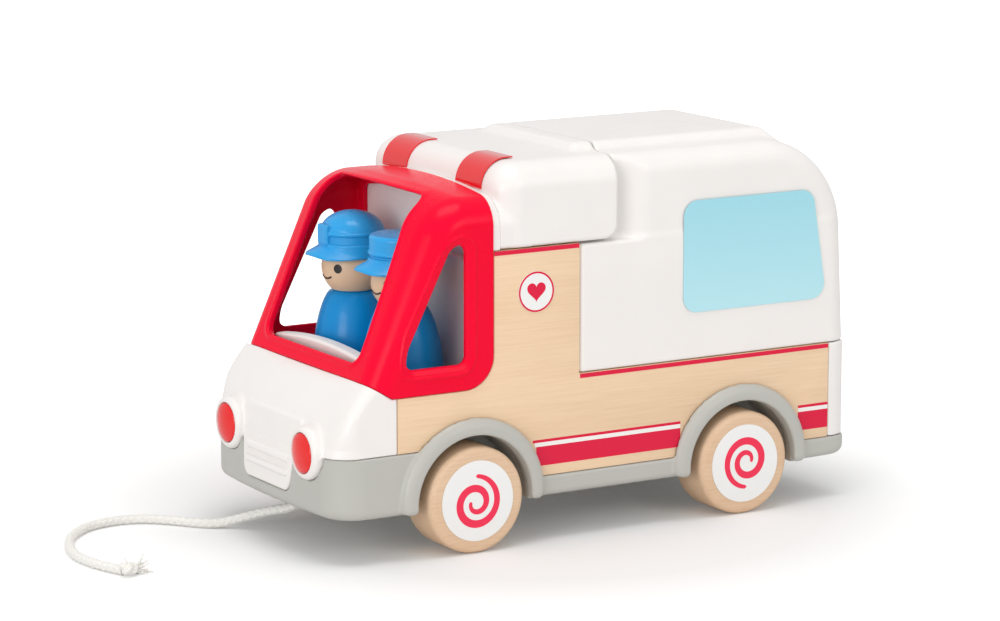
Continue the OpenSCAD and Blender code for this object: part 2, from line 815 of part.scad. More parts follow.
// white box over the rear, open below, with finger scoops and a neck under the roof cap
module sliding_box() {
    color("white") {
        difference() {
            pillow(box_y, box_edge_r) box_profile(0);
            difference() {
                pillow(box_y - box_t, box_edge_r - box_t) box_profile(box_t);
                for (s = [0, 1])
                    mirror([0, s, 0])
                        translate([cap_rear_x - scoop_len - 6, neck_y - box_t, scoop_z - box_t])
                            cube([overall_len, body_w, body_w]);
                translate([cap_rear_x - 3, -body_w, neck_top - box_t])
                    cube([100, 2 * body_w, 100]);
            }
            for (s = [0, 1])
                mirror([0, s, 0])
                    translate([0, 0, scoop_z])
                        linear_extrude(100)
                            polygon(concat([[cap_rear_x - scoop_len, box_y + 0.1]],
                                [for (k = [1 : 8]) [cap_rear_x - scoop_len + scoop_len * 0.9 * k / 8,
                                    box_y - scoop_d * (1 - cos(180 * k / 8)) / 2]],
                                [[box_front_x + 30, neck_y], [box_front_x + 30, box_y + 0.1]]));
            translate([cap_rear_x - 0.6, -body_w, neck_top])
                cube([100, 2 * body_w, 100]);
            translate([-overall_len, -body_w, 0])
                cube([2 * overall_len, 2 * body_w, skirt_z]);
            for (s = [-1, 1])
                translate([-overall_len, s > 0 ? panel_in - 0.3 : -body_w, 0])
                    cube([2 * overall_len, body_w - panel_in + 0.3, box_z]);
        }
        for (s = [0, 1])
            mirror([0, s, 0])
                translate([tail_x + 20, panel_in - 2.6, skirt_z]) {
                    cube([box_front_x - tail_x - 28, 2.3, box_z + 4 - skirt_z]);
                    translate([0, 0, box_z + 1.6 - skirt_z])
                        cube([box_front_x - tail_x - 28, box_y - box_t / 2 - panel_in + 2.6, 2.4]);
                }
        roof_panel(-half_l, cap_rear_x - 0.6);
    }
}

// pale window label on the side of the box
module window_label(side) {
    front_x = cap_rear_x - label_front;
    y0 = side > 0 ? box_y + 0.03 : -box_y - 0.33;
    color("lightblue")
        along_y(y0, y0 + 0.3)
            offset(r = label_r)
                offset(delta = -label_r)
                    polygon([[front_x, box_z + label_rise], [tail_x + label_rear, box_z + label_rise],
                        [tail_x + label_rear + label_slant, roof_z - label_drop],
                        [front_x, roof_z - label_drop]]);
}

module window_label_left() {
    window_label(1);
}

module window_label_right() {
    window_label(-1);
}

// round emblem on the tall part of a plywood side
module emblem(side) {
    x = (step_x + cab_rear_x) / 2 + 0.4;
    z = panel_top - emblem_drop;
    color("white")
        rod_y(emblem_d / 2, x, z, side > 0 ? side_y + 0.02 : -side_y - 0.32, side > 0 ? side_y + 0.32 : -side_y - 0.02);
}

module emblem_left() {
    emblem(1);
}

module emblem_right() {
    emblem(-1);
}

// steel axle
module axle(x) {
    color("silver")
        rod_y(axle_r, x, axle_z, -axle_end, axle_end);
}

module front_axle() {
    axle(front_axle_x);
}

module rear_axle() {
    axle(rear_axle_x);
}

// wooden wheel pressed on the axle, with a hub towards the bearing
module wheel(x, side) {
    r = wheel_d / 2;
    e = wheel_round;
    hub = wheel_in_y - well_in_y - 0.3;
    bore = axle_r + 0.01;
    color("wheat")
        translate([x, 0, axle_z])
            rotate([side > 0 ? -90 : 90, 0, 0])
                translate([0, 0, wheel_in_y])
                    rotate_extrude($fn = 96)
                        polygon(concat([[bore, -hub], [6, -hub], [6, 0]],
                            arc(r - e, e, e, -90, 0, 6), arc(r - e, wheel_w - e, e, 0, 90, 6),
                            [[0, wheel_w], [0, axle_end - wheel_in_y + 0.1],
                                [bore, axle_end - wheel_in_y + 0.1]]));
}

module wheel_front_left() {
    wheel(front_axle_x, 1);
}

module wheel_front_right() {
    wheel(front_axle_x, -1);
}

module wheel_rear_left() {
    wheel(rear_axle_x, 1);
}

module wheel_rear_right() {
    wheel(rear_axle_x, -1);
}

// round label on a wheel face
module wheel_label(x, side) {
    color("white")
        rod_y(label_d / 2, x, axle_z, side > 0 ? wheel_out_y + 0.02 : -wheel_out_y - 0.32,
            side > 0 ? wheel_out_y + 0.32 : -wheel_out_y - 0.02);
}

module wheel_label_front_left() {
    wheel_label(front_axle_x, 1);
}

module wheel_label_front_right() {
    wheel_label(front_axle_x, -1);
}

module wheel_label_rear_left() {
    wheel_label(rear_axle_x, 1);
}

module wheel_label_rear_right() {
    wheel_label(rear_axle_x, -1);
}

// screw with a flat round head, along +Z from the head seat
module screw(grip) {
    translate([0, 0, -2])
        cylinder(r1 = screw_head_r - 0.8, r2 = screw_head_r, h = 2);
    cylinder(r = screw_r, h = grip + 4);
}

// screws through the chassis flanges into the plywood sides
module panel_screws() {
    color("silver")
        for (x = screw_xs, s = [-1, 1])
            translate([x, s * (panel_in - fit_gap - chassis_t), screw_z])
                rotate([-90 * s, 0, 0])
                    screw(chassis_t + fit_gap);
}

// screws through the chassis floor into the bench
module seat_screws() {
    color("silver")
        for (s = [-1, 1])
            translate([figure_x, s * 12, floor_z])
                screw(chassis_t + fit_gap);
}

// bell shaped figure body with a bore for the seat peg and one for the head
module figure_body(side) {
    base_r = figure_base_d / 2;
    top_r = 10.2;
    h = neck_z - seat_z - fit_gap;
    color("royalblue")
        translate([figure_x, side * figure_y, seat_z + fit_gap])
            rotate_extrude()
                polygon(concat([[peg_d / 2 + 0.1, 0]],
                    arc(base_r - 1.5, 1.5, 1.5, -90, 0, 4),
                    [for (k = [1 : 10]) [base_r - (base_r - top_r) * (1 - cos(18 * k)) / 2, 6 + (h - 6) * k / 10]],
                    [[dowel_r + 0.02, h], [dowel_r + 0.02, h - 8], [0, h - 8], [0, peg_h + 0.8],
                        [peg_d / 2 + 0.1, peg_h + 0.8]]));
}

// wooden head, flat under the hat, with a dowel at both ends
module figure_head(side) {
    seat = head_c + head_r * sin(brow);
    color("bisque")
        translate([figure_x, side * figure_y, neck_z])
            rotate_extrude()
                polygon(concat([[0, 0.2 - dowel_h - 2], [dowel_r, 0.2 - dowel_h - 2], [dowel_r, fit_gap]],
                    arc(0, head_c, head_r, -asin((head_c - fit_gap) / head_r), brow, 14),
                    [[dowel_r, seat], [dowel_r, seat + dowel_h - 0.3], [0, seat + dowel_h - 0.3]]));
}

// hat turned from a list of radius and height, with a bore for the dowel of the head
module hat(side, turned) {
    translate([figure_x, side * figure_y, brim_z + 0.1])
        rotate_extrude()
            polygon(concat([[0, dowel_h], [dowel_r + 0.02, dowel_h], [dowel_r + 0.02, 0]], turned));
}

// visor at the front of a hat, sloping down from a given height
module visor(side, rise) {
    root = hat_r * 0.85;
    reach = hat_r * 1.34;
    fall = hat_r * 0.3;
    t = hat_r * 0.12;
    translate([figure_x, side * figure_y, brim_z + rise])
        intersection() {
            rotate_extrude()
                polygon([[root, -t], [reach, -fall - t], [reach, -fall], [root, 0]]);
            translate([reach - hat_r * 0.94, 0, -hat_r])
                cylinder(r = hat_r * 0.94, h = 2 * hat_r);
        }
}

// cap with a flat top and a visor
module driver_cap() {
    color("cornflowerblue") {
        hat(1, [[hat_r, 0], [hat_r - 0.3, hat_h * 0.38], [hat_r + 0.4, hat_h * 0.42],
            [hat_r + 0.6, hat_h * 0.8], [hat_r - 0.8, hat_h * 0.88], [0, hat_h * 0.9]]);
        visor(1, hat_h * 0.38);
    }
}

// domed helmet with a visor and a plain front plate
module medic_helmet() {
    rim = hat_h * 0.48;
    color("cornflowerblue") {
        hat(-1, concat([[hat_r, 0], [hat_r - 0.5, rim - 1], [hat_r + 0.2, rim - 0.5], [hat_r + 0.2, rim + 0.5]],
            [for (k = [0 : 9]) [(hat_r - 1) * cos(10 * k), rim + 0.6 + (hat_h - rim - 0.6) * sin(10 * k)]]));
        visor(-1, rim);
        translate([figure_x + hat_r * 0.6, -figure_y - hat_r * 0.3, brim_z + rim])
            cube([hat_r * 0.4, hat_r * 0.6, hat_h * 0.32]);
    }
}

module driver_body() {
    figure_body(1);
}

module driver_head() {
    figure_head(1);
}

module medic_body() {
    figure_body(-1);
}

module medic_head() {
    figure_head(-1);
}

// points around one place of the cord
function turn(v, w) = cross(v, w);
function unit(v) = v / norm(v);
function ring(pts, i, r, n) =
    let (a = pts[max(i - 1, 0)], b = pts[min(i + 1, len(pts) - 1)], t = unit(b - a),
        side = unit(abs(t[2]) > 0.9 ? turn(t, [0, 1, 0]) : turn(t, [0, 0, 1])), up = turn(side, t))
    [for (k = [0 : n - 1]) pts[i] + r * cos(360 * k / n) * side + r * sin(360 * k / n) * up];

// soft round cord along a route
module cord_tube(pts, r, n = 10) {
    m = len(pts);
    body = [for (i = [0 : m - 1]) each ring(pts, i, r, n)];
    sides = [for (i = [0 : m - 2], k = [0 : n - 1])
        [i * n + k, i * n + (k + 1) % n, (i + 1) * n + (k + 1) % n, (i + 1) * n + k]];
    head = [for (k = [0 : n - 1]) n - 1 - k];
    foot = [for (k = [0 : n - 1]) (m - 1) * n + k];
    polyhedron(body, concat([head], sides, [foot]), convexity = 8);
}

// soft cord
module pull_cord() {
    color("ivory")
        cord_tube(cord_route, cord_r);
}

// knot near the free end of the cord, with a short tail
module cord_end_knot() {
    end = cord_route[len(cord_route) - 1];
    color("ivory")
        hull() {
            translate(end + [-1.2, 3.6, 1.5])
                sphere(r = cord_r * 1.7, $fn = 20);
            translate(end + [-11, -1, 0.6])
                sphere(r = cord_r * 0.8, $fn = 16);
        }
}

// knot on the chassis floor that holds the cord
module cord_stop_knot() {
    color("ivory")
        translate([cord_x, 0, sill_top + fit_gap + 4])
            rotate_extrude()
                polygon(concat([[0, -4], [3, -4]], arc(0.6, 0, 4.6, -50, 90, 8), [[0, 4.6]]));
}

chassis();
front_hood();
cab_shell();
side_panel_left();
side_panel_right();
bulkhead();
bench_seat();
cab_roof();
light_strip_left();
light_strip_right();
headlight_lens_left();
headlight_lens_right();
rear_frame();
tailgate();
tailgate_hinge_pin();
sliding_box();
window_label_left();
window_label_right();
emblem_left();
emblem_right();
front_axle();
rear_axle();
wheel_front_left();
wheel_front_right();
wheel_rear_left();
wheel_rear_right();
wheel_label_front_left();
wheel_label_front_right();
wheel_label_rear_left();
wheel_label_rear_right();
panel_screws();
seat_screws();
driver_body();
driver_head();
driver_cap();
medic_body();
medic_head();
medic_helmet();
pull_cord();
cord_end_knot();
cord_stop_knot();
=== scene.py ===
"""Finish of a toy ambulance: moulded plastic, plywood, turned wood, printed labels and a pull cord.
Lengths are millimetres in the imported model's own frame, and become metres in the meshes."""
import functools
import math

import bpy
import numpy as np
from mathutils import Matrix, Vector


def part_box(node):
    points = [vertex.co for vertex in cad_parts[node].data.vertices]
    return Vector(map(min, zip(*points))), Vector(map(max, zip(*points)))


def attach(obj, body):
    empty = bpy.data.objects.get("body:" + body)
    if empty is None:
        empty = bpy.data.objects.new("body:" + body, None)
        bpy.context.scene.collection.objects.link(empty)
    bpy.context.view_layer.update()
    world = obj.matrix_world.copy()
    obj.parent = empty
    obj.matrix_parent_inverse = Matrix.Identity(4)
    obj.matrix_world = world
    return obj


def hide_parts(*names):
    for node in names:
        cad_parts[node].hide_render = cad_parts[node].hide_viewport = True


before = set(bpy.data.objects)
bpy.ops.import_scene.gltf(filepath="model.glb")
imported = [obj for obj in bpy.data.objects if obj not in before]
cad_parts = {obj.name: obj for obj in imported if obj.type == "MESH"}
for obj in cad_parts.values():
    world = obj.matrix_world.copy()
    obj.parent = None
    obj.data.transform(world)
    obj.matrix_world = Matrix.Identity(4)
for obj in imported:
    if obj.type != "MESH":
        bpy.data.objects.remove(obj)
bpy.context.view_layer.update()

MM = 0.001
COARSE = 1.0


def span(node):
    """Lowest and highest corner of a CAD node."""
    low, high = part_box(node)
    return np.array(low) / MM, np.array(high) / MM


# sizes and places read from the frame
chassis_low, chassis_high = span("chassis")
panel_low, panel_high = span("side_panel_left")
cab_low, cab_high = span("cab_shell")
cap_low, cap_high = span("cab_roof")
box_low, box_high = span("sliding_box")
hood_low, hood_high = span("front_hood")
lens_low, lens_high = span("headlight_lens_left")
gate_low, gate_high = span("tailgate")
pin_low, pin_high = span("tailgate_hinge_pin")
rear_low, rear_high = span("rear_frame")
wall_low, wall_high = span("bulkhead")
bench_low, bench_high = span("bench_seat")
strip_low, strip_high = span("light_strip_left")
emblem_low, emblem_high = span("emblem_left")
wheel_low, wheel_high = span("wheel_front_left")
rear_wheel_low, rear_wheel_high = span("wheel_rear_left")
driver_low, driver_high = span("driver_body")
label_low, label_high = span("wheel_label_front_left")
window_low, window_high = span("window_label_left")
tail_x = chassis_low[0]
bumper_x = chassis_high[0]
front_axle_x = np.mean([wheel_low[0], wheel_high[0]])
rear_axle_x = np.mean([rear_wheel_low[0], rear_wheel_high[0]])
axle_z = (wheel_low[2] + wheel_high[2]) / 2
side_y = panel_high[1]
panel_in = panel_low[1]
fit_gap = 0.2
sill_top = panel_low[2] - fit_gap
chassis_y = side_y + 0.3
wall_t = 3.0
shell_t = 2.8
arch_r = 27.8
flare_r = 35.2
flare_y = chassis_high[1] - 0.8
wheel_wider = 6.0
well_in_y = wheel_low[1] - wheel_wider - 0.3
bumper_top = 46.0
sill_z = 19.5
cowl_z = 76.5
belt_z = cab_low[2]
screen_x = cab_high[0]
toe_x = panel_high[0] + 2.5
cab_rear_x = cab_low[0]
roof_z = 164.5
panel_roof_z = box_high[2]
figure_x = (driver_low[0] + driver_high[0]) / 2
figure_y = (driver_low[1] + driver_high[1]) / 2
lens_y = (lens_low[1] + lens_high[1]) / 2
lens_z = (lens_low[2] + lens_high[2]) / 2


# camera at the photograph's viewing angle
CAMERA_HEADING = math.radians(59.046)
CAMERA_RISE = math.radians(10.672)
CAMERA_TARGET = Vector((0.015437, 0.0, 0.089872))
CAMERA_DISTANCE = 1.60203
CAMERA_LENS = 131.27
CAMERA_SENSOR = 36


def add_camera():
    data = bpy.data.cameras.new("camera")
    data.lens = CAMERA_LENS
    data.sensor_width = CAMERA_SENSOR
    camera = bpy.data.objects.new("camera", data)
    bpy.context.collection.objects.link(camera)
    away = Vector((
        math.cos(CAMERA_RISE) * math.cos(CAMERA_HEADING),
        math.cos(CAMERA_RISE) * math.sin(CAMERA_HEADING),
        math.sin(CAMERA_RISE)))
    camera.location = CAMERA_TARGET + CAMERA_DISTANCE * away
    camera.rotation_euler = (-away).to_track_quat("-Z", "Y").to_euler()
    bpy.context.scene.camera = camera


add_camera()
bpy.context.scene.view_settings.view_transform = "Standard"


# materials
class Wiring:
    """Nodes and links of a material or a world."""

    def __init__(self, owner):
        owner.use_nodes = True
        self.nodes = owner.node_tree.nodes
        self.links = owner.node_tree.links

    def node(self, kind, inputs=None):
        made = self.nodes.new("ShaderNode" + kind)
        self.feed(made, inputs or {})
        return made

    def feed(self, node, inputs):
        """Give a node's inputs constants or the outputs of other nodes."""
        for name, value in inputs.items():
            if isinstance(value, bpy.types.NodeSocket):
                self.links.new(value, node.inputs[name])
            else:
                node.inputs[name].default_value = value

    def math(self, operation, one, two):
        node = self.node("Math")
        node.operation = operation
        self.feed(node, {0: one, 1: two})
        return node.outputs[0]


class Finish(Wiring):
    """Material in the making. Its coordinates are metres in the frame."""

    def __init__(self, name):
        self.material = bpy.data.materials.new(name)
        super().__init__(self.material)
        self.shader = self.nodes["Principled BSDF"]
        self.coords = self.node("TexCoord").outputs["Object"]

    def noise(self, scale, detail=3.0, rough=0.55):
        """Noise of one scale, or of a scale for each axis."""
        vector = self.coords
        if not np.isscalar(scale):
            vector = self.node("Mapping", {"Scale": scale, "Vector": vector}).outputs["Vector"]
            scale = 1.0
        inputs = {"Scale": scale, "Detail": detail, "Roughness": rough, "Vector": vector}
        return self.node("TexNoise", inputs).outputs["Fac"]

    def ramp(self, factor, first, last):
        """Colours by factor, between two pairs of (place, colour)."""
        node = self.node("ValToRGB", {"Fac": factor})
        for element, (place, colour) in zip(node.color_ramp.elements, (first, last)):
            element.position = place
            element.color = (*colour, 1)
        return node.outputs["Color"]

    def spread(self, factor, low, high, usual=(0.3, 0.7)):
        """Factor mapped from its usual range onto low to high."""
        inputs = {"Value": factor, "From Min": usual[0], "From Max": usual[1], "To Min": low, "To Max": high}
        return self.node("MapRange", inputs).outputs["Result"]

    def multiply(self, share, colour, other):
        """Colour darkened by a share of another."""
        node = self.node("Mix")
        node.data_type = "RGBA"
        node.blend_type = "MULTIPLY"
        self.feed(node, {"Factor": share, "A": colour, "B": other})
        return node.outputs["Result"]

    def bump(self, height, strength, distance):
        node = self.node("Bump", {"Strength": strength, "Distance": distance, "Height": height})
        self.feed(self.shader, {"Normal": node.outputs["Normal"]})


TEXTURE_DEPTH = 0.0001
GLOSS_CHANGE = 0.05
BAND_SCALE = (4.0, 70.0, 70.0)
FIBRE_SCALE = (30.0, 1500.0, 1500.0)
PORE_SCALE = (90.0, 1500.0, 1500.0)
BRUSH_SCALE = (60.0, 1200.0, 1200.0)
CLEAR = (1, 1, 1)


def shade(colour, factor):
    return tuple(min(1.0, c * factor) for c in colour)


def plastic(name, colour, rough, texture_bump=0.06, coat=0.0, specular=0.4):
    """Moulded plastic with a faint texture and slow changes of tone and gloss."""
    look = Finish(name)
    tone = look.ramp(look.noise(35.0, 2.0), (0.3, shade(colour, 0.98)), (0.7, shade(colour, 1.01)))
    look.feed(look.shader, {
        "Base Color": tone,
        "Roughness": look.spread(look.noise(90.0), rough - GLOSS_CHANGE, rough + GLOSS_CHANGE),
        "Specular IOR Level": specular,
        "Coat Weight": coat,
        "Coat Roughness": 0.05})
    look.bump(look.noise(2600.0, 2.0), texture_bump, TEXTURE_DEPTH)
    return look.material


def wood(name, tones, rough=0.5):
    """Wood whose grain runs along X: broad bands, fine fibres and short pores."""
    look = Finish(name)
    dark, mid, light = tones
    fibres = look.noise(FIBRE_SCALE, 3.0, 0.6)
    tone = look.ramp(look.noise(BAND_SCALE, 4.0, 0.6), (0.3, mid), (0.7, light))
    fibre = look.ramp(fibres, (0.32, shade(mid, 0.93)), (0.62, CLEAR))
    pore = look.ramp(look.noise(PORE_SCALE, 1.0), (0.26, dark), (0.36, CLEAR))
    look.feed(look.shader, {
        "Base Color": look.multiply(0.12, look.multiply(0.22, tone, fibre), pore),
        "Roughness": look.spread(fibres, rough - 0.07, rough + 0.07)})
    look.bump(fibres, 0.1, 0.00015)
    return look.material


def film(name, low, high, z0, z1, rough=0.3):
    """Printed film whose colour goes from low to high between two heights in mm; on the white wheel labels
    this change is painted shade.
    """
    look = Finish(name)
    height = look.node("SeparateXYZ", {"Vector": look.coords}).outputs["Z"]
    share = look.spread(height, 0.0, 1.0, (z0 * MM, z1 * MM))
    look.feed(look.shader, {
        "Base Color": look.ramp(share, (0.0, low), (1.0, high)),
        "Roughness": rough})
    look.bump(look.noise(900.0, 2.0), 0.03, TEXTURE_DEPTH)
    return look.material


def steel(name):
    look = Finish(name)
    lines = look.noise(BRUSH_SCALE)
    look.feed(look.shader, {
        "Base Color": look.ramp(lines, (0.3, (0.5, 0.5, 0.5)), (0.7, (0.66, 0.66, 0.65))),
        "Metallic": 1.0,
        "Roughness": look.spread(lines, 0.22, 0.4)})
    return look.material


def cotton(name):
    look = Finish(name)
    fibre = look.noise(2200.0, 4.0)
    look.feed(look.shader, {
        "Base Color": look.ramp(fibre, (0.3, (0.72, 0.7, 0.65)), (0.65, (0.88, 0.87, 0.83))),
        "Roughness": 0.92,
        "Sheen Weight": 0.25})
    look.bump(fibre, 0.5, 0.0003)
    return look.material


WHITE = (0.83, 0.795, 0.77)
RED = (0.86, 0.001, 0.03)
GREY = (0.47, 0.465, 0.43)
BIRCH = ((0.66, 0.45, 0.27), (0.79, 0.57, 0.37), (0.83, 0.62, 0.42))
BEECH = ((0.58, 0.38, 0.22), (0.69, 0.47, 0.3), (0.74, 0.53, 0.36))
white_plastic = plastic("white_plastic", WHITE, 0.34)
red_plastic = plastic("red_plastic", RED, 0.24, 0.015, 0.0, 0.1)
grey_plastic = plastic("grey_plastic", GREY, 0.4, 0.08)
red_label = plastic("red_label", (0.74, 0.004, 0.008), 0.1, 0.01, 0.7, 0.3)
red_lens = plastic("red_lens", (0.78, 0.02, 0.02), 0.14, 0.01, 0.35, 0.2)
body_blue = plastic("blue_plastic", (0.001, 0.27, 0.66), 0.34, 0.01, 0.1, 0.25)
hat_blue = plastic("hat_blue", (0.025, 0.35, 0.74), 0.3, 0.01, 0.1, 0.3)
skin = plastic("skin_paint", (0.74, 0.51, 0.33), 0.4, 0.03)
ink = plastic("dark_ink", (0.02, 0.016, 0.014), 0.35, 0.02)
print_red = plastic("print_red", (0.7, 0.008, 0.05), 0.4, 0.05, 0.0, 0.25)
print_coral = plastic("print_coral", (0.84, 0.03, 0.085), 0.4, 0.05, 0.0, 0.25)
print_white = plastic("print_white", (0.84, 0.82, 0.79), 0.42, 0.08)
plywood = wood("plywood", BIRCH)
turned_wood = wood("turned_wood", BEECH, 0.55)
window_film = film("window_label", (0.45, 0.74, 0.81), (0.33, 0.66, 0.75), window_low[2], window_high[2])
# white labels: darker low on the wheels and lighter higher up, a painted shade fixed in height
white_film_painted_shade = film("white_label", (0.8, 0.8, 0.785), (0.83, 0.825, 0.815), 0.0, 2 * axle_z)
bright_steel = steel("steel")
white_cotton = cotton("cotton")



# meshes
SHARP_ANGLE = math.radians(32.0)


def make(name, verts, faces, material, body, slot, replaced=(), normals=None):
    """Object from points in mm, riding on a body, with smooth shading."""
    mesh = bpy.data.meshes.new(name)
    mesh.from_pydata((np.asarray(verts) * MM).tolist(), [], [list(f) for f in faces])
    mesh.polygons.foreach_set("use_smooth", [True] * len(mesh.polygons))
    if normals is None:
        mesh.set_sharp_from_angle(angle=SHARP_ANGLE)
    else:
        mesh.normals_split_custom_set_from_vertices(normals.tolist())
    mesh.materials.append(material)
    piece = bpy.data.objects.new(name, mesh)
    bpy.context.collection.objects.link(piece)
    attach(piece, body)
    if replaced:
        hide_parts(*replaced)
    return piece


def joined(parts):
    """One list of points and one of faces from several."""
    verts = []
    faces = []
    for points, polygons in parts:
        first = len(verts)
        verts.extend(np.asarray(points).tolist())
        faces.extend([[first + int(i) for i in f] for f in polygons])
    return np.array(verts), faces


def lathe(profile, steps=96):
    """Points and faces turned about Z from a profile of (radius, height), from axis to axis."""
    angles = np.linspace(0, 2 * np.pi, steps, endpoint=False)
    verts = []
    rings = []
    for radius, height in profile:
        if radius < 1e-6:
            rings.append([len(verts)])
            verts.append((0, 0, height))
        else:
            rings.append(list(range(len(verts), len(verts) + steps)))
            verts.extend((radius * math.cos(a), radius * math.sin(a), height) for a in angles)
    faces = []
    for low, high in zip(rings, rings[1:]):
        for k in range(steps):
            n = (k + 1) % steps
            ring = [low[k % len(low)], low[n % len(low)], high[n % len(high)], high[k % len(high)]]
            faces.append(list(dict.fromkeys(ring)))
    return np.array(verts), faces


def arc(cx, cy, r, start, end, steps):
    """Points of an arc in degrees."""
    turns = np.radians(np.linspace(start, end, steps + 1))
    return [(cx + r * math.cos(a), cy + r * math.sin(a)) for a in turns]


def turned_to(verts, axis, place):
    """Points turned from Z to +X, +Y or -Y and moved."""
    x, y, z = np.asarray(verts).T
    turns = {"x": (z, x, y), "y": (y, z, x), "-y": (x, -z, y)}
    return np.stack(turns[axis], 1) + np.asarray(place)


def band(low, high, count):
    """Quads between two rings of points, from the number of each ring's first point."""
    ahead = [(k + 1) % count for k in range(count)]
    return [[low + k, low + n, high + n, high + k] for k, n in enumerate(ahead)]


def slab(outline, y0, y1, edge=0.0):
    """Plate from an XZ outline, between two Y values, with chamfered rims on its outer face."""
    points = np.array(outline)
    area = np.sum(points[:, 0] * np.roll(points[:, 1], -1) - np.roll(points[:, 0], -1) * points[:, 1])
    if area * (y1 - y0) > 0:
        points = points[::-1]
    ahead = np.roll(points, -1, 0) - points
    ahead /= np.linalg.norm(ahead, axis=1)[:, None]
    behind = np.roll(ahead, 1, 0)
    inward = np.stack([ahead[:, 1], -ahead[:, 0]], 1) * np.sign(y1 - y0)
    before = np.stack([behind[:, 1], -behind[:, 0]], 1) * np.sign(y1 - y0)
    mitre = (inward + before) / (1 + np.sum(inward * before, 1))[:, None]
    count = len(points)
    rims = [(points, y0)]
    if edge > 0:
        rims.append((points, y1 - edge * np.sign(y1 - y0)))
        rims.append((points + 0.3 * edge * mitre, y1 - 0.3 * edge * np.sign(y1 - y0)))
        rims.append((points + edge * mitre, y1))
    else:
        rims.append((points, y1))
    verts = [(p[0], y, p[1]) for rim, y in rims for p in rim]
    faces = [list(range(count))[::-1]]
    for level in range(len(rims) - 1):
        faces += band(level * count, (level + 1) * count, count)
    faces.append(list(range((len(rims) - 1) * count, len(rims) * count)))
    return np.array(verts), faces


# pull cord: the route is the source's, with a gentler fall from the nose
CORD_D = 4.0
CORD_X = bumper_x - 17.8
CORD_FLOOR = CORD_D / 2 + 0.05
CORD_ROUTE = [
    (0, 0, 28.5), (0, 0, 21.5), (0.6, -2.5, 15.5), (2.5, -8, 12), (6, -15, 9.8),
    (11, -22, 7.3), (17, -28.5, 4.5), (23, -33, CORD_FLOOR + 0.5),
    (29, -37.5, CORD_FLOOR), (36, -46, CORD_FLOOR), (44, -55, CORD_FLOOR), (53, -60, CORD_FLOOR),
    (63, -61, CORD_FLOOR), (74, -58, CORD_FLOOR), (82, -52, CORD_FLOOR), (89, -44, CORD_FLOOR),
    (94, -35, CORD_FLOOR), (98, -24, CORD_FLOOR), (100, -12, CORD_FLOOR), (99, 0, CORD_FLOOR),
    (96, 11, CORD_FLOOR), (93.5, 18, CORD_FLOOR)]
BRAID_STRANDS = 4
BRAID_PITCH = 7.0
BRAID_RELIEF = 0.2
CURVE_STEPS = 24
KNOT_SHARE = 0.4
YARN_R = 0.3
YARN_SPREAD = 0.32
YARN_BEND = 0.2
YARN_FLOOR = 0.35


def smooth_line(points, spacing, closed=False):
    """Evenly spaced points of a curve through the given ones."""
    p = np.array(points, float)
    ends = (p[-1], p[0], p[1]) if closed else (2 * p[0] - p[1], None, 2 * p[-1] - p[-2])
    padded = np.vstack([ends[0], p] + ([ends[1], ends[2]] if closed else [ends[2]]))
    fine = []
    for a, b, c, d in zip(padded, padded[1:], padded[2:], padded[3:]):
        for t in np.linspace(0, 1, CURVE_STEPS, endpoint=False):
            fine.append(0.5 * (2 * b + (c - a) * t + (2 * a - 5 * b + 4 * c - d) * t ** 2
                               + (3 * b - a - 3 * c + d) * t ** 3))
    fine.append(padded[-2])
    fine = np.array(fine)
    run = np.concatenate([[0], np.cumsum(np.linalg.norm(np.diff(fine, axis=0), axis=1))])
    count = max(4, int(round(run[-1] / spacing)))
    even = np.linspace(0, run[-1], count + 1)
    return np.stack([np.interp(even, run, fine[:, k]) for k in range(3)], 1)


def braid(line, radius, sides, relief):
    """Tube of crossing strands along a line."""
    along = np.gradient(line, axis=0)
    along /= np.linalg.norm(along, axis=1)[:, None]
    side = np.cross(along[0], (0.3, 0.9, 0.1))
    frames = []
    for t in along:
        side = side - t * np.dot(side, t)
        side = side / np.linalg.norm(side)
        frames.append((side, np.cross(t, side)))
    run = np.concatenate([[0], np.cumsum(np.linalg.norm(np.diff(line, axis=0), axis=1))])
    angles = np.linspace(0, 2 * np.pi, sides, endpoint=False)
    verts = []
    for place, s, (u, v) in zip(line, run, frames):
        twist = 2 * np.pi * s / BRAID_PITCH
        high = np.maximum(np.cos(BRAID_STRANDS * (angles - twist / 2)),
                          np.cos(BRAID_STRANDS * (angles + twist / 2)))
        r = radius + relief * (high - 0.6)
        verts.append(place + r[:, None] * (np.cos(angles)[:, None] * u + np.sin(angles)[:, None] * v))
    verts = np.vstack(verts + [line[:1], line[-1:]])
    rings = len(line)
    faces = []
    for i in range(rings - 1):
        faces += band(i * sides, (i + 1) * sides, sides)
    for k in range(sides):
        n = (k + 1) % sides
        faces.append([n, k, rings * sides])
        faces.append([(rings - 1) * sides + k, (rings - 1) * sides + n, rings * sides + 1])
    return verts, faces


def overhand_knot(place, size, turn):
    """Small tight knot of the same cord round a place."""
    t = np.linspace(0, 2 * np.pi, 40, endpoint=False)
    loop = np.stack([np.sin(t) + 1.6 * np.sin(2 * t), np.cos(t) - 1.6 * np.cos(2 * t),
                     -0.9 * np.sin(3 * t)], 1)
    c, s = math.cos(turn), math.sin(turn)
    loop = loop @ np.array([[c, s, 0], [-s, c, 0], [0, 0, 1]])
    line = smooth_line(loop * size + np.asarray(place), 0.5, closed=True)
    return braid(line, CORD_D * KNOT_SHARE, 16, BRAID_RELIEF)


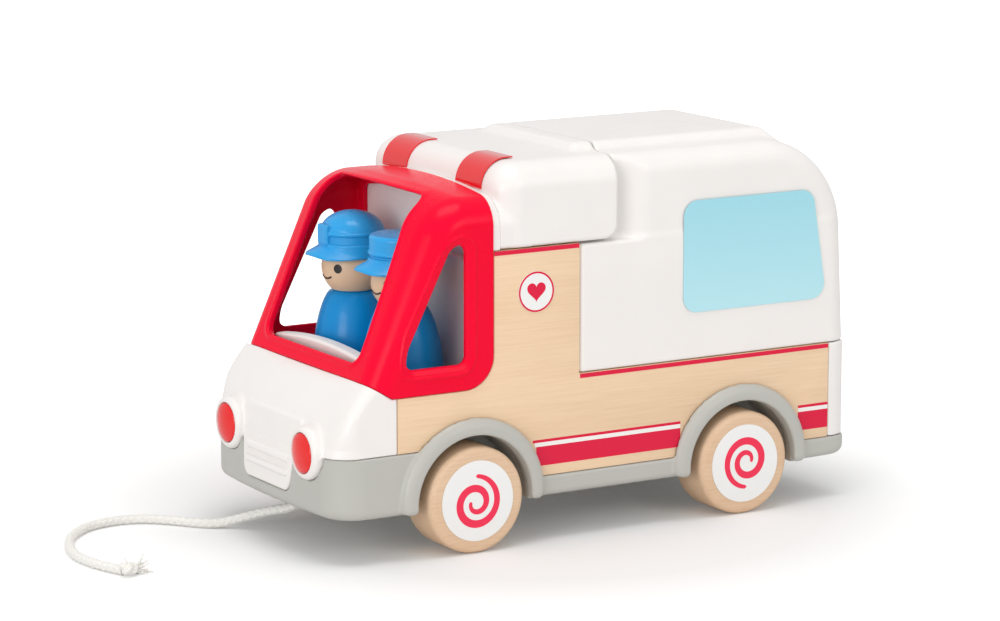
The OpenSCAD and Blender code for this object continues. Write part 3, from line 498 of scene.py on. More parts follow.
def frayed_tail(root, ahead, count, length, seed):
    """Loose ends of the cord's yarns behind a knot."""
    draw = np.random.default_rng(seed)
    parts = []
    for _ in range(count):
        out = np.array(ahead) + draw.normal(0, YARN_SPREAD, 3)
        out /= np.linalg.norm(out)
        bend = draw.normal(0, YARN_BEND, 3)
        reach = length * draw.uniform(0.6, 1.0)
        steps = np.linspace(0, 1, 5)[:, None]
        line = np.array(root) + draw.normal(0, 0.5, 3) + reach * (steps * out + steps ** 2 * bend)
        line[:, 2] = np.maximum(line[:, 2], YARN_FLOOR)
        parts.append(braid(smooth_line(line, 1.2), YARN_R, 6, 0.0))
    return parts


def add_cord():
    route = [(CORD_X + x, y, z) for x, y, z in CORD_ROUTE]
    line = smooth_line(route, 0.45 * COARSE)
    cord = make("braided_cord", *braid(line, CORD_D / 2, 24, BRAID_RELIEF), white_cotton, "body", "cotton",
                ["pull_cord"])
    end = np.array(route[-1])
    knot_parts = [overhand_knot(end + (-1.0, 2.6, 1.5), 1.0, 0.4)]
    knot_parts += frayed_tail(end + (-3.0, 1.6, 0.3), (-0.9, -0.3, -0.05), 26, 8.0, 5)
    knot = make("cord_knot_and_tail", *joined(knot_parts), white_cotton, "body", "cotton", ["cord_end_knot"])
    stop = make("cord_knot_inside", *overhand_knot((CORD_X, 0, sill_top + 4.2), 1.15, 0.0), white_cotton,
                "body", "cotton", ["cord_stop_knot"])


add_cord()


# solid shapes as distance fields, negative inside, in mm
def meet(a, b, r):
    """Where both are solid, with the edge between them rounded."""
    u = np.maximum(a + r, 0)
    v = np.maximum(b + r, 0)
    return np.minimum(np.maximum(a, b), -r) + np.hypot(u, v)


def unite(a, b, r):
    """Where either is solid, with a fillet between them."""
    return -meet(-a, -b, r)


def carve(a, b, r):
    """First solid without the second, with the rim rounded."""
    return meet(a, -b, r)


def both(*fields):
    """Where all are solid, with sharp edges."""
    return functools.reduce(np.maximum, fields)


def either(*fields):
    """Where any is solid, with sharp edges."""
    return functools.reduce(np.minimum, fields)


def lean(u, v, u0, v0, degrees):
    """Distance beyond a line through a point, whose outward side is turned from +u towards +v."""
    turn = np.radians(degrees)
    return (u - u0) * np.cos(turn) + (v - v0) * np.sin(turn)


def plate(u, v, corners, r):
    """Convex outline with rounded corners, given anticlockwise."""
    whole = None
    for (u0, v0), (u1, v1) in zip(corners, corners[1:] + corners[:1]):
        size = math.hypot(u1 - u0, v1 - v0)
        edge = ((u - u0) * (v1 - v0) - (v - v0) * (u1 - u0)) / size
        whole = edge if whole is None else meet(whole, edge, r)
    return whole


def block(x, y, z, low, high, r):
    """Box with rounded edges."""
    qx = np.abs(x - (low[0] + high[0]) / 2) - (high[0] - low[0]) / 2 + r
    qy = np.abs(y - (low[1] + high[1]) / 2) - (high[1] - low[1]) / 2 + r
    qz = np.abs(z - (low[2] + high[2]) / 2) - (high[2] - low[2]) / 2 + r
    out = np.sqrt(np.maximum(qx, 0) ** 2 + np.maximum(qy, 0) ** 2 + np.maximum(qz, 0) ** 2)
    return out + np.minimum(both(qx, qy, qz), 0) - r


SLOPE_STEP = 0.02
LEAST_SLOPE = 0.05
GRID_MARGIN = 2.03
MOVE_LIMIT = 0.7
FOLD_LIMIT = 0.8


def slope_of(field, p):
    """Field and its gradient at points."""
    here = field(*p.T)
    ahead = [field(*(p + SLOPE_STEP * axis).T) for axis in np.eye(3)]
    return here, np.stack([(value - here) / SLOPE_STEP for value in ahead], 1)


def net(field, low, high, step):
    """Quads on the zero surface of a field, with exact places and normals."""
    step = step * COARSE
    counts = [int(math.ceil((b - a) / step)) + 5 for a, b in zip(low, high)]
    axes = [a - GRID_MARGIN * step + step * np.arange(n) for a, n in zip(low, counts)]
    x, y, z = axes
    grid = np.broadcast_to(field(x[:, None, None], y[None, :, None], z[None, None, :]), counts)
    solid = grid < 0
    corners = np.stack(np.meshgrid([0, 1], [0, 1], [0, 1], indexing="ij"), -1).reshape(-1, 3)
    total = np.zeros([n - 1 for n in counts], np.uint8)
    for i, j, k in corners:
        total += solid[i:counts[0] - 1 + i, j:counts[1] - 1 + j, k:counts[2] - 1 + k]
    cells = np.argwhere((total > 0) & (total < 8))
    index = np.full(total.shape, -1, np.int64)
    index[tuple(cells.T)] = np.arange(len(cells))
    place = np.zeros((len(cells), 3))
    hits = np.zeros(len(cells))
    for axis in range(3):
        ahead = np.eye(3, dtype=int)[axis]
        for corner in corners[corners[:, axis] == 0]:
            a = grid[tuple((cells + corner).T)].astype(float)
            b = grid[tuple((cells + corner + ahead).T)].astype(float)
            crossed = (a < 0) != (b < 0)
            part = np.where(crossed, a / np.where(crossed, a - b, 1), 0)
            place += crossed[:, None] * (corner + part[:, None] * ahead)
            hits += crossed
    points = np.stack([axes[k][cells[:, k]] for k in range(3)], 1) + step * place / hits[:, None]
    start = points.copy()
    for _ in range(3):
        value, slope = slope_of(field, points)
        points = points - (value / np.maximum(np.sum(slope ** 2, 1), LEAST_SLOPE))[:, None] * slope
        points = start + np.clip(points - start, -MOVE_LIMIT * step, MOVE_LIMIT * step)
    slope = slope_of(field, points)[1]
    normals = slope / np.maximum(np.linalg.norm(slope, axis=1), 1e-6)[:, None]
    quads = []
    for axis in range(3):
        one = (axis + 1) % 3
        two = (axis + 2) % 3
        ahead = np.eye(3, dtype=int)
        inner = [slice(1, n - 1) for n in counts]
        inner[axis] = slice(0, counts[axis] - 1)
        later = list(inner)
        later[axis] = slice(1, counts[axis])
        change = solid[tuple(inner)].astype(int) - solid[tuple(later)].astype(int)
        at = np.argwhere(change != 0)
        way = change[tuple(at.T)]
        at = at + 1 - ahead[axis]
        ring = [at - ahead[one] - ahead[two], at - ahead[two], at, at - ahead[one]]
        quad = np.stack([index[tuple(c.T)] for c in ring], 1)
        quad[way < 0] = quad[way < 0][:, ::-1]
        quads.append(quad)
    quads = np.vstack(quads)
    cross = np.cross(points[quads[:, 2]] - points[quads[:, 0]], points[quads[:, 3]] - points[quads[:, 1]])
    around = np.zeros_like(points)
    for k in range(4):
        np.add.at(around, quads[:, k], cross)
    around /= np.maximum(np.linalg.norm(around, axis=1), 1e-9)[:, None]
    folded = np.sum(around * normals, 1) < FOLD_LIMIT
    normals[folded] = around[folded]
    return points, quads, normals


def mould(name, field, low, high, step, material, body, slot, replaced):
    """Moulded piece from a field, in place of CAD nodes."""
    points, quads, normals = net(field, low, high, step)
    make(name, points, quads.tolist(), material, body, slot, replaced, normals)


def white_mould(name, field, low, high, step, node, body="body"):
    mould(name, field, low, high, step, white_plastic, body, "white_plastic", [node])


# red cab
CAB_LEAN = 65.5
LEAN_BOW = 4.5
CAB_ROUND = 14.0
CAB_EDGE = 11.0
CAB_CROWN = 4.1
CAB_RISE = 2.0
CROWN_Y = 53.4
CAB_TOP = cab_high[2]
CAB_TAIL_R = 14.0
FLANGE_DEEP = 8
FLANGE_LEN = 2.5
FLANGE_RISE = 16
WINDOW = [(cab_rear_x + 13.5, belt_z + 11.2), (screen_x - 17.5, belt_z + 11.2),
          (screen_x - 16.5, belt_z + 16.2), (cab_rear_x + 19.8, CAB_TOP - 20.5),
          (cab_rear_x + 13.5, CAB_TOP - 20.5)]
WINDOW_ROUND = 3.5
BEVEL_W = 2.4
BEVEL_SLOPE = 0.35
BEAD_OFF = 4.0
BEAD_W = 0.7
BEAD_H = 0.6
SCREEN_HALF = side_y - 16.8
SCREEN_LOW = 7.0
SCREEN_HIGH = SCREEN_LOW + CAB_TOP - cowl_z
SCREEN_SHOULDER = SCREEN_HIGH - 16
SCREEN_TOP_HALF = SCREEN_HALF - 2
SCREEN_ROUND = 6.0
LIP_OFF = 1.4
LIP_W = 1.2
LIP_H = 0.5


def under_cab(x, z, drop):
    """Below the lower edge of the cab."""
    rise = math.degrees(math.atan2(cowl_z - belt_z, screen_x - toe_x))
    return both(belt_z - drop - z, lean(x, z, toe_x, belt_z - drop, rise - 90))


def cab_skin(x, y, z):
    share = 1 - (y / CROWN_Y) ** 2
    roof = z + CAB_CROWN * (1 - share) - CAB_TOP - CAB_RISE
    front = meet(lean(x, z, screen_x, cowl_z, 90 - CAB_LEAN - LEAN_BOW * share), roof, CAB_ROUND)
    return meet(front, np.abs(y) - cab_high[1], CAB_EDGE)


def cab(x, y, z):
    skin_d = cab_skin(x, y, z)
    window = plate(x, z, WINDOW, WINDOW_ROUND)
    turn = math.radians(CAB_LEAN + LEAN_BOW / 2)
    up = (z - cowl_z) * math.sin(turn) - (x - screen_x) * math.cos(turn)
    out = (x - screen_x) * math.sin(turn) + (z - cowl_z) * math.cos(turn)
    screen = plate(y, up, [(-SCREEN_HALF, SCREEN_LOW), (SCREEN_HALF, SCREEN_LOW),
                           (SCREEN_HALF, SCREEN_SHOULDER), (SCREEN_TOP_HALF, SCREEN_HIGH),
                           (-SCREEN_TOP_HALF, SCREEN_HIGH), (-SCREEN_HALF, SCREEN_SHOULDER)], SCREEN_ROUND)
    at_side = np.clip((np.abs(y) - 48) / 4, 0, 1)
    bead = BEAD_H * np.exp(-((window - BEAD_OFF) / BEAD_W) ** 2)
    dent = at_side * (BEVEL_SLOPE * np.clip(BEVEL_W - window, 0, 6) - bead)
    at_front = np.clip((out + 22) / 6, 0, 1)
    lip = at_front * LIP_H * np.exp(-((screen - LIP_OFF) / LIP_W) ** 2)
    shell = meet(skin_d + dent - lip, -(skin_d + wall_t), 0.5)
    flange = both(-(skin_d + FLANGE_DEEP), skin_d + 1, x - cab_rear_x - FLANGE_LEN, belt_z + FLANGE_RISE - z)
    tail = meet(cab_rear_x - x, belt_z - z, CAB_TAIL_R)
    shell = meet(either(shell, flange), both(tail, under_cab(x, z, 0.0)), 0.8)
    shell = carve(shell, both(window, 40 - np.abs(y)), 0.6)
    return carve(shell, both(screen, -30 - out), 0.9)


mould("moulded_cab", cab, cab_low, cab_high + (0, 0, CAB_RISE), 0.5, red_plastic, "body", "red_plastic",
      ["cab_shell"])


# white roof cap and sliding box, which share the raised roof panel
ROOF_HALF = 36.0
CAP_LONGER = 3
CAP_REAR = cap_low[0] - CAP_LONGER
PANEL_FRONT = CAP_REAR + 9
PANEL_BACK = tail_x + 34.5
PANEL_GAP = 0.2
ROOF_CROWN = 0.8
CAP_ROUND = 12.0
CAP_FOOT_R = 6.5
RIM_IN = 0.4
RIM_UNDER = 0.6
RIM_LEN = 16
BOX_EDGE = 10.0
REAR_ROUND = 40.0
REAR_LEAN = 3.0
SCOOP_DEPTH = 5.8
SCOOP_LEN = 18.0
SCOOP_Z = panel_high[2] - 0.5
NECK_TOP = 159.9
BOX_EDGE_Z = 71.7
SKIRT_IN = panel_in - 0.3
LABEL_SEAT = 0.15
RAIL_T = 2.3
RAIL_TOP = BOX_EDGE_Z + 4


def roof_panel(x, y, z):
    """Raised panel with sloped sides."""
    half = math.sqrt(0.5)
    top = z - panel_roof_z
    sides = meet((np.abs(y) - ROOF_HALF + top) * half, (x - PANEL_FRONT + top) * half, 2.0)
    sides = meet(sides, (PANEL_BACK - x + top) * half, 2.0)
    return meet(meet(sides, top, 1.2), roof_z - 3 - z, 0.1)


def roof_top(y, z):
    return z + ROOF_CROWN * (y / side_y) ** 2 - roof_z


def cap_skin(x, y, z):
    return meet(meet(x - cap_high[0], roof_top(y, z), CAP_ROUND), np.abs(y) - side_y, BOX_EDGE + 1)


def rim_arch(y, z):
    """Arch of the white rim, just under the cab roof."""
    under = z + CAB_CROWN * (y / CROWN_Y) ** 2 - CAB_TOP - CAB_RISE + RIM_UNDER
    return meet(np.abs(y) - side_y + RIM_IN, under, 12.0)


def cap(x, y, z):
    skin_d = cap_skin(x, y, z)
    rim = both(rim_arch(y, z), x - cap_high[0], cap_high[0] - RIM_LEN - x)
    outer = unite(unite(skin_d, rim, 0.8), roof_panel(x, y, z), 1.5)
    outer = meet(outer, meet(CAP_REAR - x, cap_low[2] - z, CAP_FOOT_R), 2.0)
    return carve(outer, skin_d + shell_t, 0.4)


def box_skin(x, y, z):
    rear = lean(x, z, tail_x, BOX_EDGE_Z, 180 - REAR_LEAN)
    return meet(meet(rear, roof_top(y, z), REAR_ROUND), np.abs(y) - box_high[1] + LABEL_SEAT, BOX_EDGE)


def box(x, y, z):
    side = np.abs(y)
    skin_d = box_skin(x, y, z)
    run = np.clip((x - CAP_REAR + SCOOP_LEN) / SCOOP_LEN, 0, 1)
    depth = SCOOP_DEPTH * run * run * (3 - 2 * run)
    scoop = meet(box_high[1] - depth - side, SCOOP_Z - z, 3.0)
    neck = both(CAP_REAR - PANEL_GAP - x, NECK_TOP - z)
    panel = both(roof_panel(x, y, z), x - CAP_REAR + PANEL_GAP)
    outer = unite(meet(skin_d, x - box_high[0], 2.5), panel, 1.5)
    outer = carve(carve(outer, scoop, 1.6), neck, 1.2)
    shell = carve(outer, both(skin_d + shell_t, shell_t - scoop, shell_t - neck), 0.4)
    below = either(z - box_low[2], both(z - BOX_EDGE_Z, SKIRT_IN - side))
    shell = carve(shell, below, 0.9)
    rail_x0 = tail_x + 20
    rail_x1 = box_high[0] - 8
    rail_in = SKIRT_IN - RAIL_T
    rail = block(x, side, z, (rail_x0, rail_in, box_low[2]), (rail_x1, SKIRT_IN, RAIL_TOP), 0.6)
    web = block(x, side, z, (rail_x0, rail_in, BOX_EDGE_Z + 1.6), (rail_x1, side_y - 1.6, RAIL_TOP), 0.4)
    return either(shell, rail, web)


white_mould("moulded_roof_cap", cap, cap_low - (CAP_LONGER, 0, 0), cap_high, 0.8, "cab_roof")
white_mould("moulded_box", box, box_low, box_high, 1.0, "sliding_box", "box")


# white nose with grille and headlight bezels
NOSE_BOW = 2.0
NOSE_CORNER = 14.0
HOOD_Y = side_y - 0.2
HOOD_BASE = bumper_top + fit_gap
HOOD_FRONT = bumper_x - 0.4
HOOD_CORNER = NOSE_CORNER - 1
FACE_LEAN = 6.0
SLOPE_LEAN = 50.0
HOOD_ROUND = 16.0
CREST_X = screen_x + 6.8
CREST_Z = 72.7
COVE_TOP = 82
BROW_Z = 58.5
LENS_R = (lens_high[1] - lens_low[1]) / 2
BEZEL_R = LENS_R + 3.0
GRILLE_HALF = side_y - 34
GRILLE_OUT = 0.9
GRILLE_LEAN = 15.5
BAR_ZS = (bumper_top - 5.5, bumper_top - 11.5)
BAR_T = 1.5
BAR_HALF = 1.4
DASH_HALF = SCREEN_HALF + 1.5
DASH_RISE = 5.5
DASH_SWELL = 3.5
DASH_ROOM = 12


def nose_front(x, y, corner):
    """Distance beyond the bowed front of the nose."""
    return x + NOSE_BOW * (y / (side_y - corner)) ** 2


def hood_skin(x, y, z):
    ahead = nose_front(x, y, 0.0)
    face = lean(ahead, z, HOOD_FRONT, HOOD_BASE, FACE_LEAN)
    slope = lean(ahead, z, screen_x + 0.8, cowl_z + 0.8, SLOPE_LEAN)
    corner = np.clip(HOOD_CORNER - 0.6 * (z - 50), 5.0, HOOD_CORNER)
    return meet(meet(face, slope, HOOD_ROUND), np.abs(y) - HOOD_Y, corner)


def grille_outline(y, z, grow):
    right = [(GRILLE_HALF - 3, sill_top - 2), (GRILLE_HALF, bumper_top - 8), (GRILLE_HALF + 4, BROW_Z)]
    left = [(-half, height) for half, height in reversed(right)]
    return plate(y, z, left + right, 5.0) - grow


def hood(x, y, z):
    side = np.abs(y)
    skin_d = hood_skin(x, y, z)
    cove = plate(x, z, [(screen_x - 2, cowl_z - 0.2), (screen_x + 0.6, cowl_z - 0.9), (CREST_X, CREST_Z),
                        (CREST_X + 4, COVE_TOP), (screen_x - 2, COVE_TOP)], 1.2)
    shell = carve(both(skin_d, HOOD_BASE - z), skin_d + shell_t, 0.4)
    shell = carve(shell, cove + 3.0 * np.clip((side - 15) / 35, 0, 1) ** 2, 1.6)
    outline = grille_outline(y, z, 0.0)
    front_x = bumper_x + GRILLE_OUT
    face = meet(x - bumper_x - GRILLE_OUT, lean(x, z, front_x, bumper_top - 6, GRILLE_LEAN), 6.0)
    shell = carve(shell, both(outline, -face), 0.8)
    back = np.where(z < HOOD_BASE, bumper_x - 2.2 - x, -(face + 3.4))
    shell = unite(shell, both(meet(outline, face, 1.5), back), 0.5)
    shell = both(shell, panel_high[0] + fit_gap - x)
    shell = meet(shell, -under_cab(x, z, fit_gap), 0.5)
    for bar_z in BAR_ZS:
        bar = block(face, y, z, (-BAR_T, 5 - GRILLE_HALF, bar_z - BAR_HALF),
                    (BAR_T, GRILLE_HALF - 5, bar_z + BAR_HALF), 0.9)
        shell = unite(shell, bar, 0.5)
    ring = np.hypot(side - lens_y, z - lens_z)
    bezel = meet(both(ring - BEZEL_R, bumper_x - 10 - x), x - bumper_x - 1.4, 2.6)
    shell = unite(shell, bezel, 1.6)
    shell = carve(shell, both(ring - LENS_R - 0.25, bumper_x - 3.3 - x), 0.4)
    swell = DASH_SWELL * (1 - (y / DASH_HALF) ** 2)
    dash = both(meet(side - SCREEN_HALF - 1.5, z - cowl_z - DASH_RISE - swell, 1.5), belt_z - 3 - z)
    dash = meet(dash, both(hood_low[0] - x, x - screen_x + 7.5), 1.5)
    shelf = block(x, y, z, (panel_high[0] + 0.4, 2 - side_y, belt_z - 3),
                  (screen_x - 4, side_y - 2, belt_z - 0.2), 0.3)
    return either(shell, dash, shelf)


white_mould("moulded_nose", hood, hood_low, hood_high + (0, 0, DASH_ROOM), 0.6, "front_hood")


# grey chassis
TAIL_CORNER = 8.0
KEEL_R = 3.0
AXLE_BORE_R = 2.4
CORD_HOLE_R = 2.6
FLARE_EDGE = 4.4


def chassis_plan(x, y, inset=0.0):
    side = np.abs(y) - chassis_y + inset
    nose = meet(nose_front(x, y, NOSE_CORNER) - bumper_x + inset, side, NOSE_CORNER - inset)
    return both(nose, meet(tail_x - x + inset, side, TAIL_CORNER))


def chassis(x, y, z):
    side = np.abs(y)
    floor_z = sill_top - wall_t
    end = np.clip(np.maximum((x - bumper_x + 30) / 24, (tail_x + 22 - x) / 16), 0, 1)
    keel = meet(chassis_plan(x, y), sill_z - z, KEEL_R + 1.5 * end * end)
    top = either(z - sill_top, both(z - bumper_top, front_axle_x + 10 - x))
    base = meet(keel, top, 0.9)
    nearest = np.where(x > (front_axle_x + rear_axle_x) / 2, front_axle_x, rear_axle_x)
    around = np.hypot(x - nearest, z - axle_z)
    well = both(around - arch_r - wall_t, well_in_y - wall_t - side, side - chassis_y + 0.3)
    flare = meet(meet(around - flare_r, side - flare_y, FLARE_EDGE), arch_r - around, 1.2)
    behind = either(side_y + 0.15 - side, both(around - arch_r - wall_t, side_y - 3 - side))
    flare = meet(both(flare, behind), sill_z - z, KEEL_R)
    blocks = block(np.abs(x - nearest), side, z, (-5, well_in_y - 10, axle_z - 5),
                   (5, well_in_y, axle_z + 15), 0.5)
    hollow = both(chassis_plan(x, y, 7.0), z - floor_z, -either(well, blocks))
    nose_room = both(chassis_plan(x, y, wall_t), sill_top - z, front_axle_x - x)
    whole = carve(either(base, well), hollow, 0.8)
    whole = carve(either(whole, blocks), both(nose_room, -well), 0.5)
    whole = carve(whole, both(around - arch_r, well_in_y - side), 0.6)
    whole = unite(whole, flare, 1.0)
    whole = both(whole, sill_z - 1.5 - z, np.where(side > well_in_y, sill_z - z, -9.0))
    ring = np.hypot(side - lens_y, z - lens_z)
    whole = carve(whole, both(ring - BEZEL_R - fit_gap, bumper_x - 40 - x), 0.5)
    whole = carve(whole, both(grille_outline(y, z, fit_gap), bumper_x - 2.4 - x), 0.5)
    whole = carve(whole, both(around - AXLE_BORE_R, well_in_y - 11 - side), 0.2)
    whole = carve(whole, both(np.hypot(x - CORD_X, y) - CORD_HOLE_R, np.abs(z - floor_z) - 6), 0.5)
    flange = block(x, side, z, (rear_axle_x + flare_r + 2, panel_in - 3.2, floor_z),
                   (front_axle_x - flare_r - 2, panel_in - 0.2, sill_top + 12), 0.5)
    return either(whole, flange)


mould("moulded_chassis", chassis, chassis_low, chassis_high, 0.95, grey_plastic, "body", "grey_plastic",
      ["chassis"])


# white inner wall, bench, tail frame and tailgate
WALL_WIDER = 0.45
WALL_BACK = 0.1
WALL_GAP = 0.4


def inner_wall(x, y, z):
    side = np.abs(y)
    lower = both(side - panel_in + fit_gap, z - panel_high[2] - fit_gap, wall_low[2] - z)
    notch = both(well_in_y - wall_t - WALL_GAP - side, z - axle_z - arch_r - wall_t - WALL_GAP)
    lower = carve(lower, notch, 1.0)
    arch = both(rim_arch(y, z), panel_high[2] + fit_gap - z)
    middle = (wall_low[0] + wall_high[0]) / 2
    faces = np.abs(x - middle + WALL_BACK) - (wall_high[0] - wall_low[0]) / 2 - WALL_WIDER
    return meet(either(lower, arch), faces, 0.1)


SEAT_Z = driver_low[2] - fit_gap
PEG_R = 4.5
PEG_H = 5.0
PAN_T = 3
BACK_HALF_T = 1.7
POST_R = 3.6
POST_Y = 12


def bench(x, y, z):
    side = np.abs(y)
    back_x = bench_low[0]
    half = bench_high[1]
    pan = block(x, y, z, (back_x, -half, SEAT_Z - PAN_T), (bench_high[0], half, SEAT_Z), 1.2)
    under_half = well_in_y - wall_t - 0.6
    trunk = block(x, y, z, (back_x, -under_half, bench_low[2]), (bench_high[0], under_half, SEAT_Z - 2), 0.6)
    room = block(x, y, z, (back_x + 3, 3 - under_half, bench_low[2] - 9),
                 (bench_high[0] - 3, under_half - 3, SEAT_Z - PAN_T), 0.4)
    outline = both(meet(side - half + 4, z - bench_high[2], 14.0), SEAT_Z - PAN_T - z)
    back = meet(outline, np.abs(x - back_x - BACK_HALF_T) - BACK_HALF_T, 1.4)
    peg = both(np.hypot(x - figure_x, side - figure_y) - PEG_R, SEAT_Z - 1 - z)
    peg = meet(peg, z - SEAT_Z - PEG_H, 1.0)
    post = both(np.hypot(x - figure_x, side - POST_Y) - POST_R, bench_low[2] - z, z - SEAT_Z + 1)
    return either(unite(carve(either(pan, trunk), room, 0.4), back, 2.0), peg, post)


GATE_HALF = gate_high[1]
PIN_X = (pin_low[0] + pin_high[0]) / 2
PIN_Z = (pin_low[2] + pin_high[2]) / 2
GATE_R = 3.5
FIELD_HALF = GATE_HALF - 6
FIELD_LOW = PIN_Z + 4
FIELD_HIGH = gate_high[2] - 11
PULL_Z = gate_high[2] - 6.25
PULL_HALF = 12
PULL_T = 1.75


def tail_frame(x, y, z):
    side = np.abs(y)
    plan = both(meet(tail_x - x, side - rear_high[1], 9.0), x - rear_high[0])
    whole = meet(meet(plan, z - rear_high[2], 0.8), rear_low[2] - z, 0.4)
    post_in = GATE_HALF + 0.3
    gap = both(side - post_in, rear_low[2] + 3.5 - z)
    shelf = both(side - 52.3, gate_high[2] - z)
    return carve(whole, either(gap, shelf), 0.8)


def gate(x, y, z):
    leaf = both(np.abs(x - PIN_X) - GATE_R, PIN_Z - z, z - gate_high[2])
    round_foot = np.hypot(x - PIN_X, z - PIN_Z) - GATE_R
    whole = meet(either(leaf, round_foot), np.abs(y) - GATE_HALF, 1.2)
    whole = meet(whole, z - gate_high[2], 1.2)
    field = plate(y, z, [(-FIELD_HALF, FIELD_LOW), (FIELD_HALF, FIELD_LOW), (FIELD_HALF, FIELD_HIGH),
                         (-FIELD_HALF, FIELD_HIGH)], 3.0)
    whole = carve(whole, both(field, x - PIN_X + GATE_R - 0.7), 0.5)
    pull = block(x, y, z, (gate_low[0], -PULL_HALF, PULL_Z - PULL_T),
                 (tail_x + 1.5, PULL_HALF, PULL_Z + PULL_T), 1.2)
    return unite(whole, pull, 1.0)


white_mould("moulded_inner_wall", inner_wall, wall_low, wall_high + (0, 0, CAB_RISE), 0.8, "bulkhead")
white_mould("moulded_bench", bench, bench_low, bench_high, 0.9, "bench_seat")
white_mould("moulded_tail_frame", tail_frame, rear_low, rear_high, 0.8, "rear_frame")
white_mould("moulded_tailgate", gate, gate_low, gate_high, 0.7, "tailgate", "tailgate")


# plywood sides with printed lines
SIDES = (("left", 1), ("right", -1))
PRINT_T = 0.06
INK_GAP = 0.005
LINES = ((126.0, 127.9, 10.9, 53.0, print_red), (69.3, 71.2, -120.3, 10.3, print_red),
         (43.4, 44.6, -120.5, 34.0, print_red), (41.6, 43.4, -120.5, 33.0, print_white),
         (33.2, 41.6, -120.5, 32.2, print_red))


def panel_outline():
    """Outline of a plywood side in XZ, with its two wheel arches."""
    step_x = box_high[0] + 0.2
    ledge = BOX_EDGE_Z - 0.4
    hole = arch_r + wall_t + fit_gap
    start = math.degrees(math.asin((panel_low[2] - axle_z) / hole))
    nose = math.degrees(math.asin((HOOD_BASE - axle_z) / hole))
    return ([(panel_low[0], panel_low[2]), (panel_low[0], ledge), (step_x, ledge), (step_x, panel_high[2]),
             (cab_rear_x - fit_gap, panel_high[2])]
            + arc(cab_rear_x + CAB_TAIL_R, belt_z + CAB_TAIL_R, CAB_TAIL_R + fit_gap, 180, 270, 12)
            + [(panel_high[0], belt_z - fit_gap), (panel_high[0], HOOD_BASE)]
            + arc(front_axle_x, axle_z, hole, nose, 180 - start, 40)
            + arc(rear_axle_x, axle_z, hole, start, 180 - start, 48))


def add_side(name, side):
    outer = side * side_y
    make("ply_side_" + name, *slab(panel_outline(), side * panel_in, outer, 0.5), plywood, "body", "plywood",
         ["side_panel_" + name])
    reach = arch_r + wall_t + 0.6
    for number, (z0, z1, x0, x1, colour) in enumerate(LINES):
        runs = [(x0, x1)]
        if z1 < axle_z + reach:
            runs = [(x0, rear_axle_x - reach), (rear_axle_x + reach, x1)]
        parts = [slab([(a, z0), (b, z0), (b, z1), (a, z1)], outer + side * INK_GAP, outer + side * PRINT_T)
                 for a, b in runs]
        make("printed_line_%s_%d" % (name, number + 1), *joined(parts), colour, "body", "red_label")


for side_name, sign in SIDES:
    add_side(side_name, sign)


# turned wheels with spiral labels
WHEEL_R = (wheel_high[2] - wheel_low[2]) / 2
WHEEL_OUT = wheel_high[1]
WHEEL_HUB = 1.9
WHEEL_HUB_R = 6
WHEEL_IN = wheel_low[1] - wheel_wider + WHEEL_HUB
WHEEL_EDGE = 2.6
LABEL_R = (label_high[2] - label_low[2]) / 2
LABEL_SINK = 0.04
SPIRAL_TURNS = 1.8
SPIRAL_R = 11.7
SPIRAL_PITCH = 5.3
SPIRAL_OFF = (1.0, -0.9)
SPIRAL_THIN = 1.5
SPIRAL_SWELL = 1.9
INK_T = 0.05


def wheel_profile():
    width = WHEEL_OUT - WHEEL_IN
    flat = WHEEL_R - WHEEL_EDGE
    return ([(0, -WHEEL_HUB), (WHEEL_HUB_R, -WHEEL_HUB), (WHEEL_HUB_R, 0), (flat - 8, 0)]
            + arc(flat, WHEEL_EDGE, WHEEL_EDGE, -90, 0, 8) + [(WHEEL_R, width / 2)]
            + arc(flat, width - WHEEL_EDGE, WHEEL_EDGE, 0, 90, 8)
            + [(LABEL_R + 0.6, width), (LABEL_R, width - LABEL_SINK), (0, width - LABEL_SINK)])


def spiral(first_turn):
    """Edges of a flat ribbon winding inwards, thickest in its first turn, with round ends."""
    steps = 160
    t = SPIRAL_TURNS * np.linspace(0, 1, steps)
    angle = math.radians(first_turn) + 2 * np.pi * t
    radius = SPIRAL_R - SPIRAL_PITCH * t
    flip = math.sin(math.radians(first_turn))
    middle = np.stack([radius * np.cos(angle), radius * np.sin(angle)], 1) + flip * np.array(SPIRAL_OFF)
    ahead = np.gradient(middle, axis=0)
    ahead /= np.linalg.norm(ahead, axis=1)[:, None]
    across = np.stack([-ahead[:, 1], ahead[:, 0]], 1)
    width = SPIRAL_THIN + SPIRAL_SWELL * np.sin(np.pi * (t / SPIRAL_TURNS) ** 0.7)
    run = np.concatenate([[0], np.cumsum(np.linalg.norm(np.diff(middle, axis=0), axis=1))])
    tip = np.minimum(np.minimum(run, run[-1] - run) / (SPIRAL_THIN / 2), 1)
    half = (width / 2 * np.sqrt(tip * (2 - tip)))[:, None]
    return middle + half * across, middle - half * across


def spiral_solid(first_turn, y0, y1):
    left, right = spiral(first_turn)
    verts = [(x, y, z) for y in (y0, y1) for pair in zip(left, right) for x, z in pair]
    count = len(left)
    faces = []
    for i in range(count - 1):
        low = 2 * i
        top = 2 * count + 2 * i
        faces.append([low, low + 1, low + 3, low + 2])
        faces.append([top, top + 2, top + 3, top + 1])
        faces.append([low, low + 2, top + 2, top])
        faces.append([low + 1, top + 1, top + 3, low + 3])
    return np.array(verts), faces


